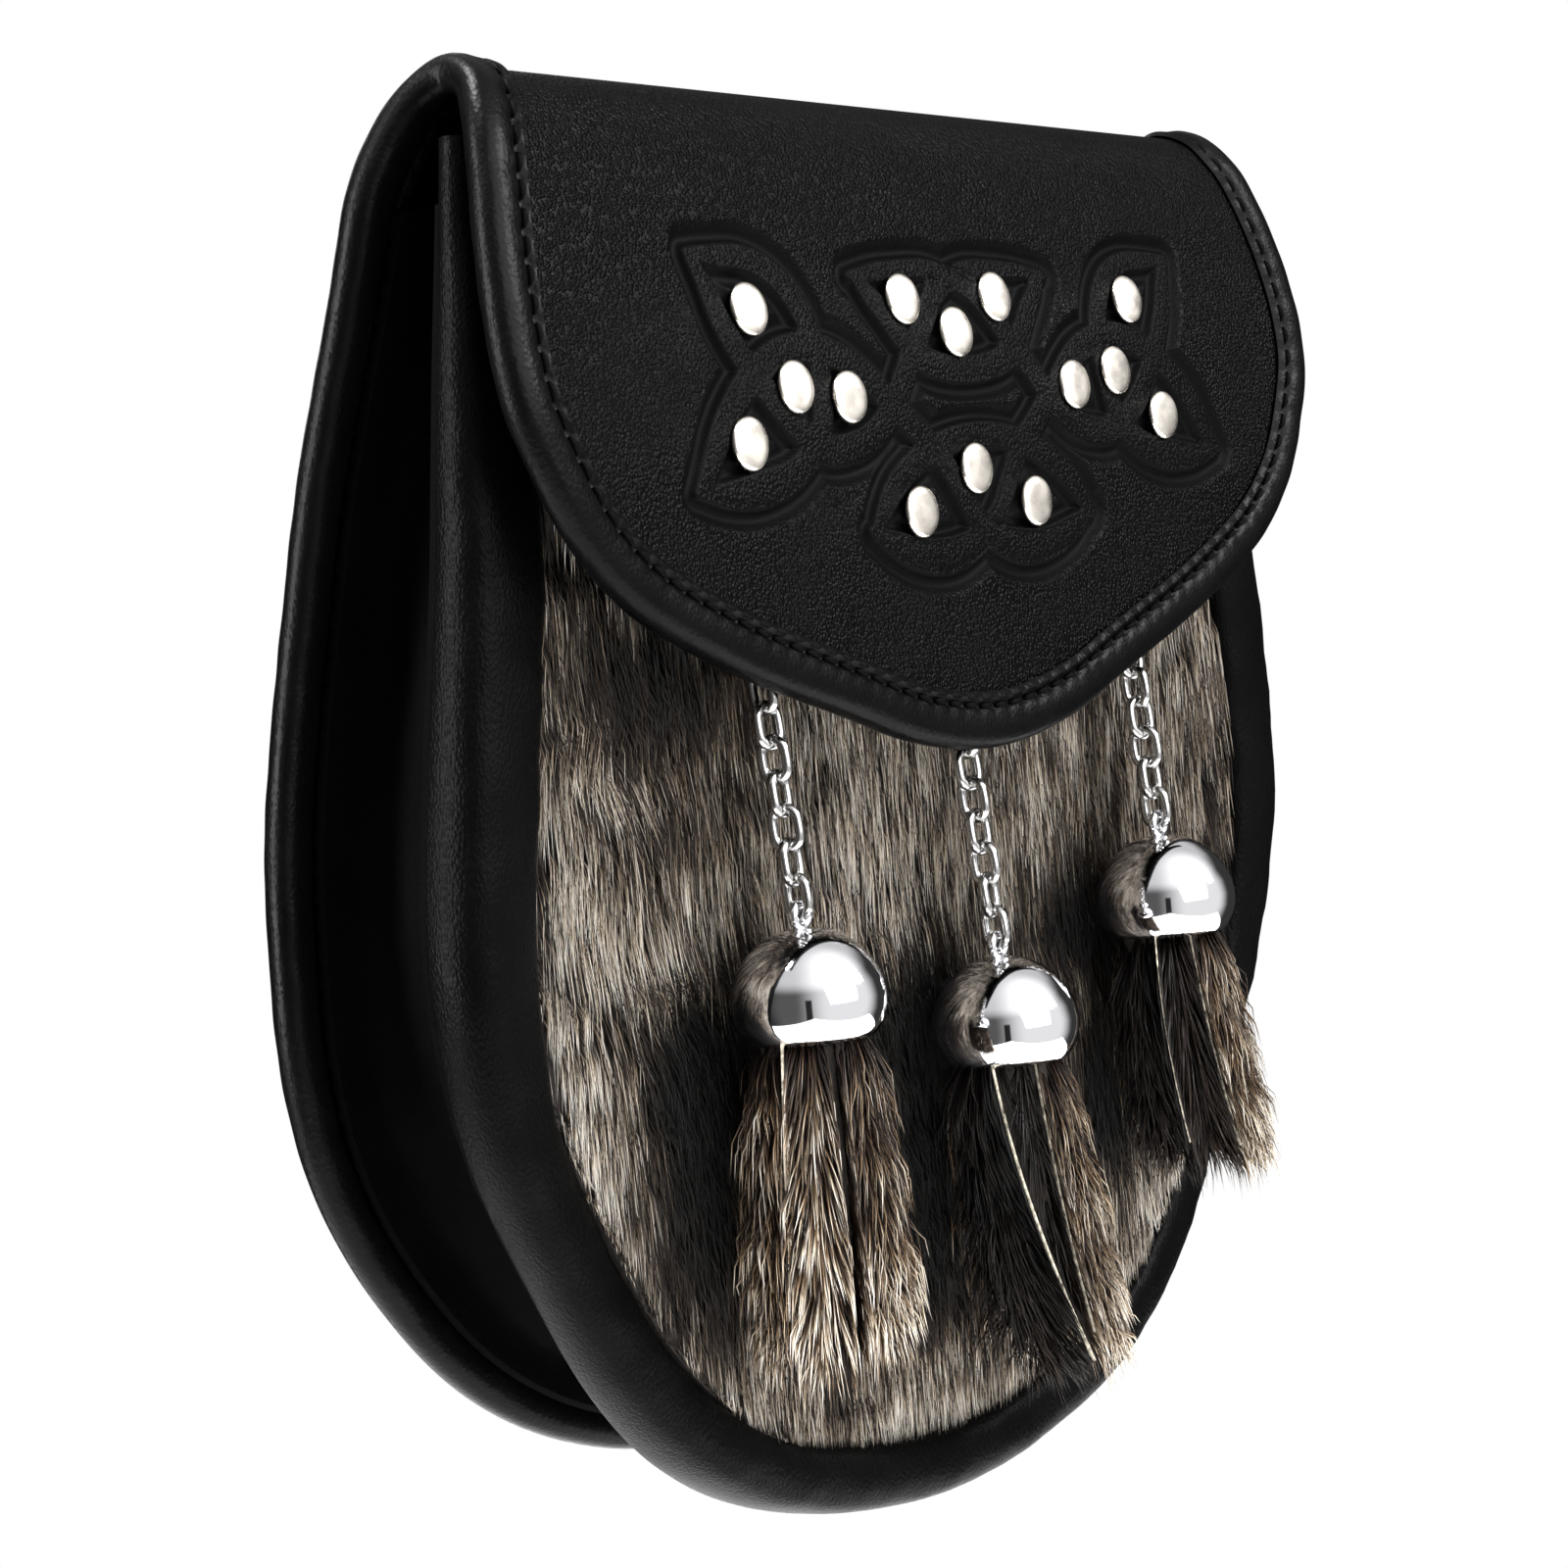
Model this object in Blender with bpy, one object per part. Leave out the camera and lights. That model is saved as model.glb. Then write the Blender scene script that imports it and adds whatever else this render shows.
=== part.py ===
# Sporran pouch: a flat leather pouch worn in front on a strap, with a studded flap, a front of
# hair-on hide in a padded rim, and three tassels that hang on chains under bell caps.
#
# The sizes here are millimetres. Depths (y) count from the flap's face towards the wearer, heights (z)
# from the middle of the stud pattern, and put() moves both to the belt loop, which is the part's origin.
import bmesh
import bpy
import numpy as np
from math import atan2, cos, hypot, pi, radians, sin
from mathutils import Matrix, Vector

MM = 0.001
GAP = 0.3                   # clearance between two pieces that touch

# The tunnel of the belt loop, which is where the pouch hangs
LOOP_DEPTH = 52.0
LOOP_HEIGHT = -25.0

# Leather
SHEET = 2.6                 # back and flap
PANEL = 2.2                 # plate behind the fur
FLANGE = 1.8                # gusset
BINDING_WALL = 1.2          # folded binding, on each face of the sheet
BINDING_GAP = 0.5           # between the sheet and the binding, a little more for the tight arch
BINDING_WIDTH = 9.5         # how far its lips reach in from the edge
SHEET_INSET = 1.9           # from the binding's outer edge to the sheet's cut edge
SHEET_STATIONS = 96         # steps round its edge, the same on the sheet and its binding
SHEET_TURN = 45.0           # turn_weight of those steps, see evenly()

# The arch stands higher at its left end and lower at its right by ARCH_DROOP, 100 mm out. That starts
# at one height and is whole at the other.
ARCH_DROOP = 3.7
ARCH_START = 8.0
ARCH_FULL = 44.0

# The sheet from the bottom of the back, over the arch, to the tip of the flap. Each row is a level:
# its depth and height on the outer face, and half the finished width there.
# depth, height, half_width
SHEET_ROWS = [
    (56.0, -171.0, 0.0),
    (56.0, -169.4, 40.0),
    (56.0, -165.0, 57.0),
    (56.0, -157.0, 74.0),
    (56.0, -145.0, 89.5),
    (56.0, -126.0, 104.5),
    (56.0, -110.0, 112.0),
    (55.4, -94.0, 115.6),
    (54.6, -79.0, 116.4),
    (53.4, -60.0, 116.0),
    (51.4, -42.0, 114.0),
    (48.6, -25.0, 112.0),
    (44.4, -8.0, 111.0),
    (39.2, 8.0, 110.0),
    (34.6, 21.0, 109.0),
    (30.9, 32.0, 107.7),
    (27.8, 39.2, 105.0),
    (23.7, 45.0, 102.2),
    (18.0, 47.8, 100.4),
    (12.2, 46.0, 101.6),
    (8.3, 40.7, 104.1),
    (5.9, 33.0, 106.4),
    (3.8, 22.0, 108.8),
    (2.0, 10.0, 109.9),
    (0.9, 0.0, 109.0),
    (0.4, -10.0, 104.8),
    (0.2, -20.0, 98.7),
    (0.2, -30.0, 87.7),
    (0.2, -40.0, 67.4),
    (0.2, -50.0, 39.0),
    (0.2, -56.0, 21.0),
    (0.2, -58.8, 0.0),
]

# The padded rim, from its top end under the arch to the bottom. Each row is a level: half the width,
# the depth of the rim's face, and how wide that face is.
# height, half_width, face_depth, face_width
RIM_ROWS = [
    (32.0, 102.7, 12.7, 16.5),
    (4.0, 105.6, 12.4, 16.5),
    (-23.5, 108.0, 12.6, 16.5),
    (-50.0, 111.4, 13.4, 16.0),
    (-80.0, 113.4, 15.2, 15.5),
    (-107.0, 107.4, 17.8, 13.5),
    (-130.0, 95.0, 19.8, 12.0),
    (-150.0, 81.8, 19.6, 11.5),
    (-165.0, 66.5, 19.0, 11.5),
    (-177.0, 44.0, 18.6, 11.5),
    (-184.3, 0.0, 18.6, 12.0),
]
PANEL_TOP_DEPTH = 18.5      # depth of the front panel's face at the top of the rim
PANEL_SLOPE = 0.07          # and how much deeper it gets for each millimetre down
PANEL_INSET = 2.5           # from the rim's outer edge to the panel's
RIM_TURN = 20.0             # turn_weight of the steps round the rim, see evenly()

# Half the section of the rim: share of the face's width from the outer edge, share of its thickness
# across, depth
RIM_SECTION = [
    (0.00, 0.74), (0.03, 0.44), (0.11, 0.19), (0.24, 0.05), (0.42, 0.0), (0.76, 0.0),
    (0.94, 0.10), (1.00, 0.34), (1.00, 1.0), (0.06, 1.0),
]

# Gusset: how far in from the outlines its wall and its folded edges are
GUSSET_INSET = 12.6
GUSSET_EDGE = 5.0
GUSSET_TOP = 27.0           # height of its ends, at the front and at the back
GUSSET_BACK_TOP = 25.0
GUSSET_SAG = 1.4

# Fur on its hide: depth of the mean surface by height
# height, depth
FUR_ROWS = [
    (34.0, 15.6), (0.0, 15.2), (-40.0, 15.4), (-62.0, 16.6), (-90.0, 17.9),
    (-120.0, 18.4), (-150.0, 19.0), (-168.0, 20.2),
]
FUR_TOP = 28.0
FUR_SHOULDER = -112.0       # where the straight sides of the fur go over into its round bottom
FUR_COLUMNS = 20
LOCK_LENGTH = 22.0
LOCK_STEP = 1.5             # how far a lock's tip stands over the next lock's root
LOCK_TIP = 3.0              # height of that step
FUR_GAP = 0.4               # between the fur and the rim
FUR_CLEARANCE = 0.6         # round what passes through the fur

# Studs, on the flap's face
STUD_RADIUS = 4.0
STUD_HEIGHT = 2.2
# across, height: each row is a stud, and one off the middle has a twin on the other side
STUD_ROWS = [
    (52.9, 13.9), (45.0, 1.7), (31.8, -0.3), (58.2, -6.5),
    (12.9, 14.9), (16.3, -19.2), (0.0, 9.3), (0.0, -13.0),
]

# Chains, bells and tassels
LINK_LENGTH = 7.5
LINK_WIDTH = 5.5
LINK_WIRE = 1.15
LINK_PITCH = 5.34           # more than taut wires need, so that linked wires fuse where they bear
STAPLE_WIRE = 1.6
STAPLE_WIDTH = 6.0
CHAIN_DEPTH = 9.0           # of the staple's bar
CHAIN_LINKS = 9
CHAIN_PLAY = 0.35           # between an end link and the wire it hangs on or holds
BELL_RADIUS = 11.75
BELL_HEIGHT = 17.0
BELL_WALL = 0.9
BELL_DEPTH = 4.4            # of the bell's axis
BELL_LOOP = 5.2             # outer size of its loop
BELL_LOOP_RISE = 1.9        # of the loop's middle over the bell's top
# name, across, bell top height, tassel length, tassel shift, tassel half width
DROPS = [
    ("left", -51.6, -81.0, 51.0, -2.0, 14.0),
    ("middle", 0.0, -93.2, 53.0, 7.0, 14.0),
    ("right", 51.6, -79.4, 43.0, 4.0, 15.0),
]
TASSEL_DEPTH = 0.86         # of a tassel front to back, as a share of its width
# The strips of a tassel: angle round it, share of its length, share of its half width
# angle, length, spread
STRIP_ROWS = [
    (0.0, 1.0, 0.98), (68.0, 0.93, 0.84), (142.0, 0.97, 0.92), (214.0, 0.95, 0.92), (288.0, 1.0, 0.86),
]

# Hidden clasp and the belt loop
CLASP_HEIGHT = -37.0
CLASP_RADIUS = 6.5
CLASP_POST = 3.2
LOOP_WIDTH = 64.0
LOOP_THICKNESS = 2.6
LOOP_RISE = 6.6             # clear space between the loop and the back
LOOP_REACH = 20.0           # from the loop's middle to the end of its tunnel
LOOP_FOOT = 11.0


def put(across, depth, height):
    """A point of the part, in metres from the belt loop."""
    return Vector((across * MM, (depth - LOOP_DEPTH) * MM, (height - LOOP_HEIGHT) * MM))


def through(rows, per_span=24, mirrored=None):
    """Points of a smooth curve through a table's rows. It crosses the middle square at an end where
    the column named by mirrored is 0."""
    rows = np.array(rows, float)

    def beyond(end, inner):
        if mirrored is not None and end[mirrored] == 0.0:
            ghost = inner.copy()
            ghost[mirrored] *= -1.0
            return ghost
        return 2.0 * end - inner

    knots = [beyond(rows[0], rows[1]), *rows, beyond(rows[-1], rows[-2])]
    points = []
    for p0, p1, p2, p3 in zip(knots, knots[1:], knots[2:], knots[3:]):
        t1 = np.linalg.norm(p1 - p0) ** 0.5
        t2 = t1 + np.linalg.norm(p2 - p1) ** 0.5
        t3 = t2 + np.linalg.norm(p3 - p2) ** 0.5
        for step in range(per_span):
            t = t1 + (t2 - t1) * step / per_span
            a1 = p0 * (t1 - t) / t1 + p1 * t / t1
            a2 = p1 * (t2 - t) / (t2 - t1) + p2 * (t - t1) / (t2 - t1)
            a3 = p2 * (t3 - t) / (t3 - t2) + p3 * (t - t2) / (t3 - t2)
            b1 = a1 * (t2 - t) / t2 + a2 * t / t2
            b2 = a2 * (t3 - t) / (t3 - t1) + a3 * (t - t1) / (t3 - t1)
            points.append(b1 * (t2 - t) / (t2 - t1) + b2 * (t - t1) / (t2 - t1))
    points.append(rows[-1])
    return np.array(points)


def evenly(points, count, places, turn_weight=0.0):
    """Points read at even steps along a line. places are its points in space, and turn_weight is the
    length in millimetres that a turn of one radian counts for."""
    steps = np.diff(places, axis=0)
    lengths = np.linalg.norm(steps, axis=1)
    ways = steps / lengths[:, None]
    turns = np.arccos(np.clip((ways[1:] * ways[:-1]).sum(axis=1), -1.0, 1.0))
    measure = lengths.copy()
    measure[1:] += turn_weight * turns
    run = np.concatenate([[0.0], np.cumsum(measure)])
    wanted = np.linspace(0.0, run[-1], count)
    return np.stack([np.interp(wanted, run, column) for column in points.T], axis=1)


def to_right(line):
    """Unit vectors to the right of a line of flat points, on the points."""
    way = np.gradient(line, axis=0)
    way /= np.linalg.norm(way, axis=1)[:, None]
    return np.stack([way[:, 1], -way[:, 0]], axis=1)


def material(name, colour, roughness, metallic=0.0):
    made = bpy.data.materials.new(name)
    made.use_nodes = True
    shader = made.node_tree.nodes["Principled BSDF"]
    shader.inputs["Base Color"].default_value = (*colour, 1.0)
    shader.inputs["Roughness"].default_value = roughness
    shader.inputs["Metallic"].default_value = metallic
    return made


def add_object(name, mesh, finish):
    made = bpy.data.objects.new(name, mesh)
    made.data.materials.append(finish)
    bpy.context.collection.objects.link(made)
    return made


def add_bmesh(name, bm, finish, smooth_angle=40.0):
    """An object from a bmesh, with its faces pointing out."""
    bmesh.ops.recalc_face_normals(bm, faces=bm.faces)
    mesh = bpy.data.meshes.new(name)
    bm.to_mesh(mesh)
    bm.free()
    mesh.shade_smooth()
    mesh.set_sharp_from_angle(angle=radians(smooth_angle))
    return add_object(name, mesh, finish)


def loft(bm, rings, closed=False):
    """Faces between rings of points, each ring a closed loop. The ends are capped, or joined."""
    loops = [[bm.verts.new(point) for point in ring] for ring in rings]
    pairs = list(zip(loops, loops[1:]))
    if closed:
        pairs.append((loops[-1], loops[0]))
    else:
        bm.faces.new(loops[0])
        bm.faces.new(reversed(loops[-1]))
    for one, other in pairs:
        for i in range(len(one)):
            j = (i + 1) % len(one)
            bm.faces.new((one[i], one[j], other[j], other[i]))


def fuse(target, cutters, operation="UNION"):
    """Joins other objects to the target, or cuts them out of it, and hides them as guides."""
    for cutter in cutters:
        cutter.hide_render = True
        cutter.display_type = "WIRE"
        modifier = target.modifiers.new(cutter.name, "BOOLEAN")
        modifier.operation = operation
        modifier.object = cutter
        modifier.solver = "EXACT"


# ---- the folded sheet ----

sheet_curve = through(SHEET_ROWS, mirrored=2)
sheet_run = np.concatenate([[0.0], np.cumsum(np.hypot(*np.diff(sheet_curve[:, :2], axis=0).T))])
sheet_way = np.gradient(sheet_curve[:, :2], axis=0)
sheet_way /= np.linalg.norm(sheet_way, axis=1)[:, None]


def on_sheet(run, across, lift=0.0):
    """The point at a run up the sheet and a distance across it, lift over its outer face."""
    depth, height, way_y, way_z = (
        np.interp(run, sheet_run, column) for column in (*sheet_curve[:, :2].T, *sheet_way.T)
    )
    length = hypot(way_y, way_z)
    depth += lift * way_z / length
    height -= lift * way_y / length
    ease = min(max((height - ARCH_START) / (ARCH_FULL - ARCH_START), 0.0), 1.0)
    height -= ARCH_DROOP * across / 100.0 * ease * ease * (3.0 - 2.0 * ease)
    return put(across, depth, height)


def sheet_outline(count):
    """The sheet's finished edge as flat points (run, across), once round from the bottom of the back,
    with the unit vectors that point in from it."""
    flat = np.stack([sheet_run, sheet_curve[:, 2]], axis=1)
    places = np.stack([sheet_curve[:, 2], sheet_curve[:, 0], sheet_curve[:, 1]], axis=1)
    half = evenly(flat, count // 2 + 1, places, SHEET_TURN)
    line = np.concatenate([half, (half * (1, -1))[-2:0:-1]])
    lapped = np.concatenate([line[-2:], line, line[:2]])
    return line, to_right(lapped)[2:-2]


def make_back_flap_panel(finish):
    line, inner = sheet_outline(SHEET_STATIONS)
    edge = line + inner * SHEET_INSET
    count = len(edge)
    bm = bmesh.new()
    faces = [[bm.verts.new(on_sheet(*place, lift)) for place in edge] for lift in (0.0, -SHEET)]
    for i in range(count):
        bm.faces.new([faces[side][k % count] for side, k in ((0, i), (0, i + 1), (1, i + 1), (1, i))])
    for face in faces:
        # each strip runs straight across, from one side's edge to the other's
        for i in range(count // 2):
            corners = dict.fromkeys((i, i + 1, (count - i - 1) % count, (count - i) % count))
            bm.faces.new([face[k] for k in corners])
    return add_bmesh("back_flap_panel", bm, finish)


def make_edge_binding(finish):
    line, inner = sheet_outline(SHEET_STATIONS)
    slot = SHEET / 2 + BINDING_GAP
    outer = slot + BINDING_WALL
    section = [
        (BINDING_WIDTH, outer), (2.4, outer), (0.8, outer * 0.72),
        (0.0, 0.0), (0.8, -outer * 0.72), (2.4, -outer), (BINDING_WIDTH, -outer),
        (BINDING_WIDTH, -slot), (SHEET_INSET - GAP, -slot), (SHEET_INSET - GAP, slot), (BINDING_WIDTH, slot),
    ]
    rings = []
    for place, way in zip(line, inner):
        rings.append([on_sheet(*(place + way * inset), lift - SHEET / 2) for inset, lift in section])
    bm = bmesh.new()
    loft(bm, rings, closed=True)
    return add_bmesh("edge_binding", bm, finish)


# ---- the front ----

rim_curve = through(RIM_ROWS, mirrored=1)


def panel_depth(height):
    return PANEL_TOP_DEPTH + PANEL_SLOPE * (RIM_ROWS[0][0] - height)


def rim_line(count, top=RIM_ROWS[0][0]):
    """Places round the U of the rim, from a height on its left to the same on its right: across,
    height, face depth and face width, with the flat unit vectors that point in."""
    height, half_width, depth, width = rim_curve[rim_curve[:, 0] <= top].T
    right = np.stack([half_width, height, depth, width], axis=1)
    full = np.concatenate([right * (-1, 1, 1, 1), right[-2::-1]])
    line = evenly(full, count, full[:, :3], RIM_TURN)
    return line, -to_right(line[:, :2])


def make_front_frame(finish):
    rings = []
    for (across, height, face, width), way in zip(*rim_line(43)):
        ring = []
        for share_in, share_back in RIM_SECTION:
            x, z = np.array((across, height)) + way * share_in * width
            back = panel_depth(z) - GAP
            ring.append(put(x, face + (back - face) * share_back, z))
        rings.append(ring)
    bm = bmesh.new()
    loft(bm, rings)
    return add_bmesh("front_frame", bm, finish)


def make_front_panel(finish):
    line, inner = rim_line(49)
    edge = line[:, :2] + inner * PANEL_INSET
    bm = bmesh.new()
    face = bm.faces.new([bm.verts.new(put(x, panel_depth(z), z)) for x, z in edge])
    grown = bmesh.ops.extrude_face_region(bm, geom=[face])["geom"]
    moved = [item for item in grown if isinstance(item, bmesh.types.BMVert)]
    bmesh.ops.translate(bm, verts=moved, vec=(0.0, PANEL * MM, 0.0))
    return add_bmesh("front_panel", bm, finish)


def make_gusset(finish):
    """A wall with both edges folded out: the front one lies on the front panel, the back one on the
    binding's inner lip."""
    count = 39
    rim, rim_in = rim_line(count, GUSSET_TOP)
    line, inner = sheet_outline(400)
    arch = next(i for i, (run, _) in enumerate(line) if on_sheet(run, 0.0).z > put(0, 0, GUSSET_BACK_TOP).z)
    right = np.concatenate([line[:arch], inner[:arch]], axis=1)
    full = np.concatenate([(right * (1, -1, 1, -1))[:0:-1], right])
    places = np.array([on_sheet(*row[:2]) for row in full]) / MM
    back = evenly(full, count, places, RIM_TURN)
    lip = -(SHEET + BINDING_GAP + BINDING_WALL + GAP)

    def at_front(i, inset, rise):
        x, z = rim[i, :2] + rim_in[i] * inset
        return put(x, panel_depth(z) + PANEL + GAP + rise, z)

    def at_back(i, inset, rise):
        run, across = back[i, :2] + back[i, 2:] * inset
        return on_sheet(run, across, lip - rise)

    rings = []
    for i in range(count):
        inner_wall = GUSSET_INSET + FLANGE
        sag = (at_front(i, GUSSET_INSET + GUSSET_SAG, 0) + at_back(i, GUSSET_INSET + GUSSET_SAG, 0)) / 2
        sag_in = (at_front(i, inner_wall + GUSSET_SAG, 0) + at_back(i, inner_wall + GUSSET_SAG, 0)) / 2
        rings.append([
            at_front(i, GUSSET_EDGE, 0.0), at_front(i, GUSSET_EDGE, FLANGE),
            at_front(i, GUSSET_INSET, FLANGE), sag, at_back(i, GUSSET_INSET, FLANGE),
            at_back(i, GUSSET_EDGE, FLANGE), at_back(i, GUSSET_EDGE, 0.0),
            at_back(i, inner_wall, 0.0), sag_in, at_front(i, inner_wall, 0.0),
        ])
    bm = bmesh.new()
    loft(bm, rings)
    return add_bmesh("gusset", bm, finish)


def fur_edge():
    """The edge of the opening that the fur fills, on the right side, from the top down."""
    height, half_width, _, width = rim_curve.T
    line = np.stack([half_width, height], axis=1)
    return line + to_right(line) * (width + FUR_GAP)[:, None]


def make_fur_panel(finish):
    """Rows of locks that run down and overlap like shingles, on a flat backing."""
    edge = fur_edge()
    falling = edge[::-1]
    shoulder_width = np.interp(FUR_SHOULDER, falling[:, 1], falling[:, 0])
    depth_rows = through(FUR_ROWS)[::-1]
    bowl = edge[edge[:, 1] < FUR_SHOULDER][::-1]
    count = round((FUR_TOP - FUR_ROWS[-1][0]) / LOCK_LENGTH)
    bm = bmesh.new()
    columns = []
    for i in range(FUR_COLUMNS + 1):
        share = 2.0 * i / FUR_COLUMNS - 1.0
        low = np.interp(abs(share) * shoulder_width, bowl[:, 0], bowl[:, 1]) if abs(share) < 1 else FUR_SHOULDER
        levels = [(0.0, 0.0)]
        for k in range(count):
            tip = (k + (0.7 if i % 2 else 0.2)) / count
            levels += [(tip, -0.6), (tip + LOCK_TIP / (FUR_TOP - low), 0.4)]
        levels.append((1.0, 0.0))
        column = []
        for share_down, step in levels:
            z = FUR_TOP + (low - FUR_TOP) * share_down
            side = np.interp(max(z, FUR_SHOULDER), falling[:, 1], falling[:, 0])
            rim = abs(share) == 1.0
            depth = np.interp(z, depth_rows[:, 0], depth_rows[:, 1])
            lift = 0.0 if rim else LOCK_STEP * step
            column.append(bm.verts.new(put(share * side, depth + lift, z)))
        columns.append(column)
    for one, other in zip(columns, columns[1:]):
        for k in range(len(one) - 1):
            bm.faces.new((one[k], one[k + 1], other[k + 1], other[k]))
    border = (
        [column[0] for column in columns] + columns[-1][1:] + [column[-1] for column in columns[-2::-1]]
        + columns[0][-2:0:-1]
    )
    back = []
    for vert in border:
        height = vert.co.z / MM + LOOP_HEIGHT
        back.append(bm.verts.new((vert.co.x, put(0.0, panel_depth(height) - GAP, 0.0).y, vert.co.z)))
    for i in range(len(border)):
        j = (i + 1) % len(border)
        bm.faces.new((border[i], border[j], back[j], back[i]))
    bm.faces.new(back)
    bmesh.ops.triangulate(bm, faces=bm.faces)
    return add_bmesh("fur_panel", bm, finish)


# ---- metal ----

def turned(bm, profile, sides, centre):
    """A solid turned about the upright line through centre, from (radius, height) rows that start and
    end on that line."""
    verts = [bm.verts.new(centre + Vector((radius, 0.0, height)) * MM) for radius, height in profile]
    edges = [bm.edges.new(pair) for pair in zip(verts, verts[1:])]
    bmesh.ops.spin(
        bm, geom=verts + edges, cent=centre, axis=(0.0, 0.0, 1.0), angle=2.0 * pi, steps=sides,
        use_merge=True,
    )
    bmesh.ops.remove_doubles(bm, verts=bm.verts, dist=0.00001)


def make_studs(finish):
    profile = [(0.0, STUD_HEIGHT), (0.68 * STUD_RADIUS, 0.78 * STUD_HEIGHT), (STUD_RADIUS, 0.3 * STUD_HEIGHT)]
    profile += [(STUD_RADIUS - 0.3, 0.0), (0.0, 0.0)]
    places = []
    for across, height in STUD_ROWS:
        places += [(side * across, height) for side in ((-1, 1) if across else (1,))]
    places.sort()
    bm = bmesh.new()
    turned(bm, profile, 10, Vector())
    bmesh.ops.rotate(bm, verts=bm.verts, cent=(0, 0, 0), matrix=Matrix.Rotation(radians(90), 3, "X"))
    first = add_bmesh("stud_01", bm, finish)
    front = sheet_curve[np.argmax(sheet_curve[:, 1]):]
    for number, (across, height) in enumerate(places, start=1):
        stud = first if number == 1 else add_object(f"stud_{number:02d}", first.data, finish)
        depth, slope = (np.interp(-height, -front[:, 1], column) for column in
                        (front[:, 0], np.gradient(front[:, 0], front[:, 1])))
        stud.location = put(across, depth - GAP - 0.1, height)
        stud.rotation_euler.x = -atan2(slope, 1.0)


def wire_ring(points, wire, sides):
    """Rings of a wire's section on a closed flat line of points round their centre."""
    centre = sum(points, Vector()) / len(points)
    normal = (points[0] - centre).cross(points[1] - centre).normalized()
    rings = []
    for i, point in enumerate(points):
        along = (points[(i + 1) % len(points)] - points[i - 1]).normalized()
        out = along.cross(normal)
        turns = [2.0 * pi * k / sides for k in range(sides)]
        rings.append([point + (out * cos(a) + normal * sin(a)) * wire / 2 for a in turns])
    return rings


def oval(centre, along, side, length, width, steps=10):
    """Points of a link's centre line: two half circles with straight sides between them."""
    points = []
    radius = width / 2
    straight = (length - width) / 2
    for i in range(steps):
        a = 2.0 * pi * (i + 0.5) / steps
        shift = straight if cos(a) > 0 else -straight
        points.append(centre + along * (radius * cos(a) + shift) + side * radius * sin(a))
    return points


def link_points(centre, along, side):
    wire = LINK_WIRE * MM
    return oval(centre, along, side, LINK_LENGTH * MM - wire, LINK_WIDTH * MM - wire)


def link_reach():
    """From the middle of a link to the middle of its wire at one end."""
    return max(point.x for point in link_points(Vector(), Vector((1, 0, 0)), Vector((0, 1, 0)))) / MM


def staple_height(bell):
    """The height of the staple's bar that a taut chain reaches from a bell's loop."""
    drop = BELL_DEPTH - CHAIN_DEPTH
    loop_end = bell + BELL_LOOP_RISE + (BELL_LOOP - LINK_WIRE) / 2 - LINK_WIRE - CHAIN_PLAY
    taut = (CHAIN_LINKS - 1) * LINK_PITCH + 2 * link_reach()
    return loop_end + (taut * taut - drop * drop) ** 0.5 - (LINK_WIRE + STAPLE_WIRE) / 2 - CHAIN_PLAY


def make_chain(name, across, bell, finish):
    """Oval links in a straight hang from the staple to the bell, each turned a quarter from the last."""
    top = put(across, CHAIN_DEPTH, staple_height(bell) + (LINK_WIRE + STAPLE_WIRE) / 2 + CHAIN_PLAY)
    end = bell + BELL_LOOP_RISE + (BELL_LOOP - LINK_WIRE) / 2 - LINK_WIRE - CHAIN_PLAY
    bottom = put(across, BELL_DEPTH, end)
    along = (top - bottom).normalized()
    sideways = Vector((1.0, 0.0, 0.0))
    facing = along.cross(sideways).normalized()
    middle = (top + bottom) / 2
    made = []
    for i in range(CHAIN_LINKS):
        centre = middle + along * ((CHAIN_LINKS - 1) / 2 - i) * LINK_PITCH * MM
        side = sideways if i % 2 else facing
        bm = bmesh.new()
        loft(bm, wire_ring(link_points(centre, along, side), LINK_WIRE * MM, 5), closed=True)
        made.append(add_bmesh(f"{name}_link_{i + 1}", bm, finish, smooth_angle=80.0))
    made[0].name = name
    fuse(made[0], made[1:])


def make_staple(name, across, height, finish):
    """A wire staple through the fur: its legs end at the front panel."""
    wire = STAPLE_WIRE
    half = (STAPLE_WIDTH - wire) / 2
    depth = panel_depth(height) - GAP
    corner = 1.2
    path = [
        (-half, depth), (-half, CHAIN_DEPTH + corner), (-half + corner, CHAIN_DEPTH),
        (half - corner, CHAIN_DEPTH), (half, CHAIN_DEPTH + corner), (half, depth),
    ]
    rings = []
    for i, (x, y) in enumerate(path):
        before, after = path[max(i - 1, 0)], path[min(i + 1, len(path) - 1)]
        way = Vector((after[0] - before[0], after[1] - before[1], 0.0)).normalized()
        out = Vector((way.y, -way.x, 0.0))
        turns = [2.0 * pi * k / 6 for k in range(6)]
        rings.append([put(across + x, y, height) + (out * cos(a) + Vector((0, 0, sin(a)))) * wire / 2 * MM
                      for a in turns])
    bm = bmesh.new()
    loft(bm, rings)
    return add_bmesh(name, bm, finish)


BELL_PROFILE = [(0.0, 0.0), (0.34, 0.04), (0.68, 0.21), (0.93, 0.50), (1.0, 0.76), (0.93, 1.0)]


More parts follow.
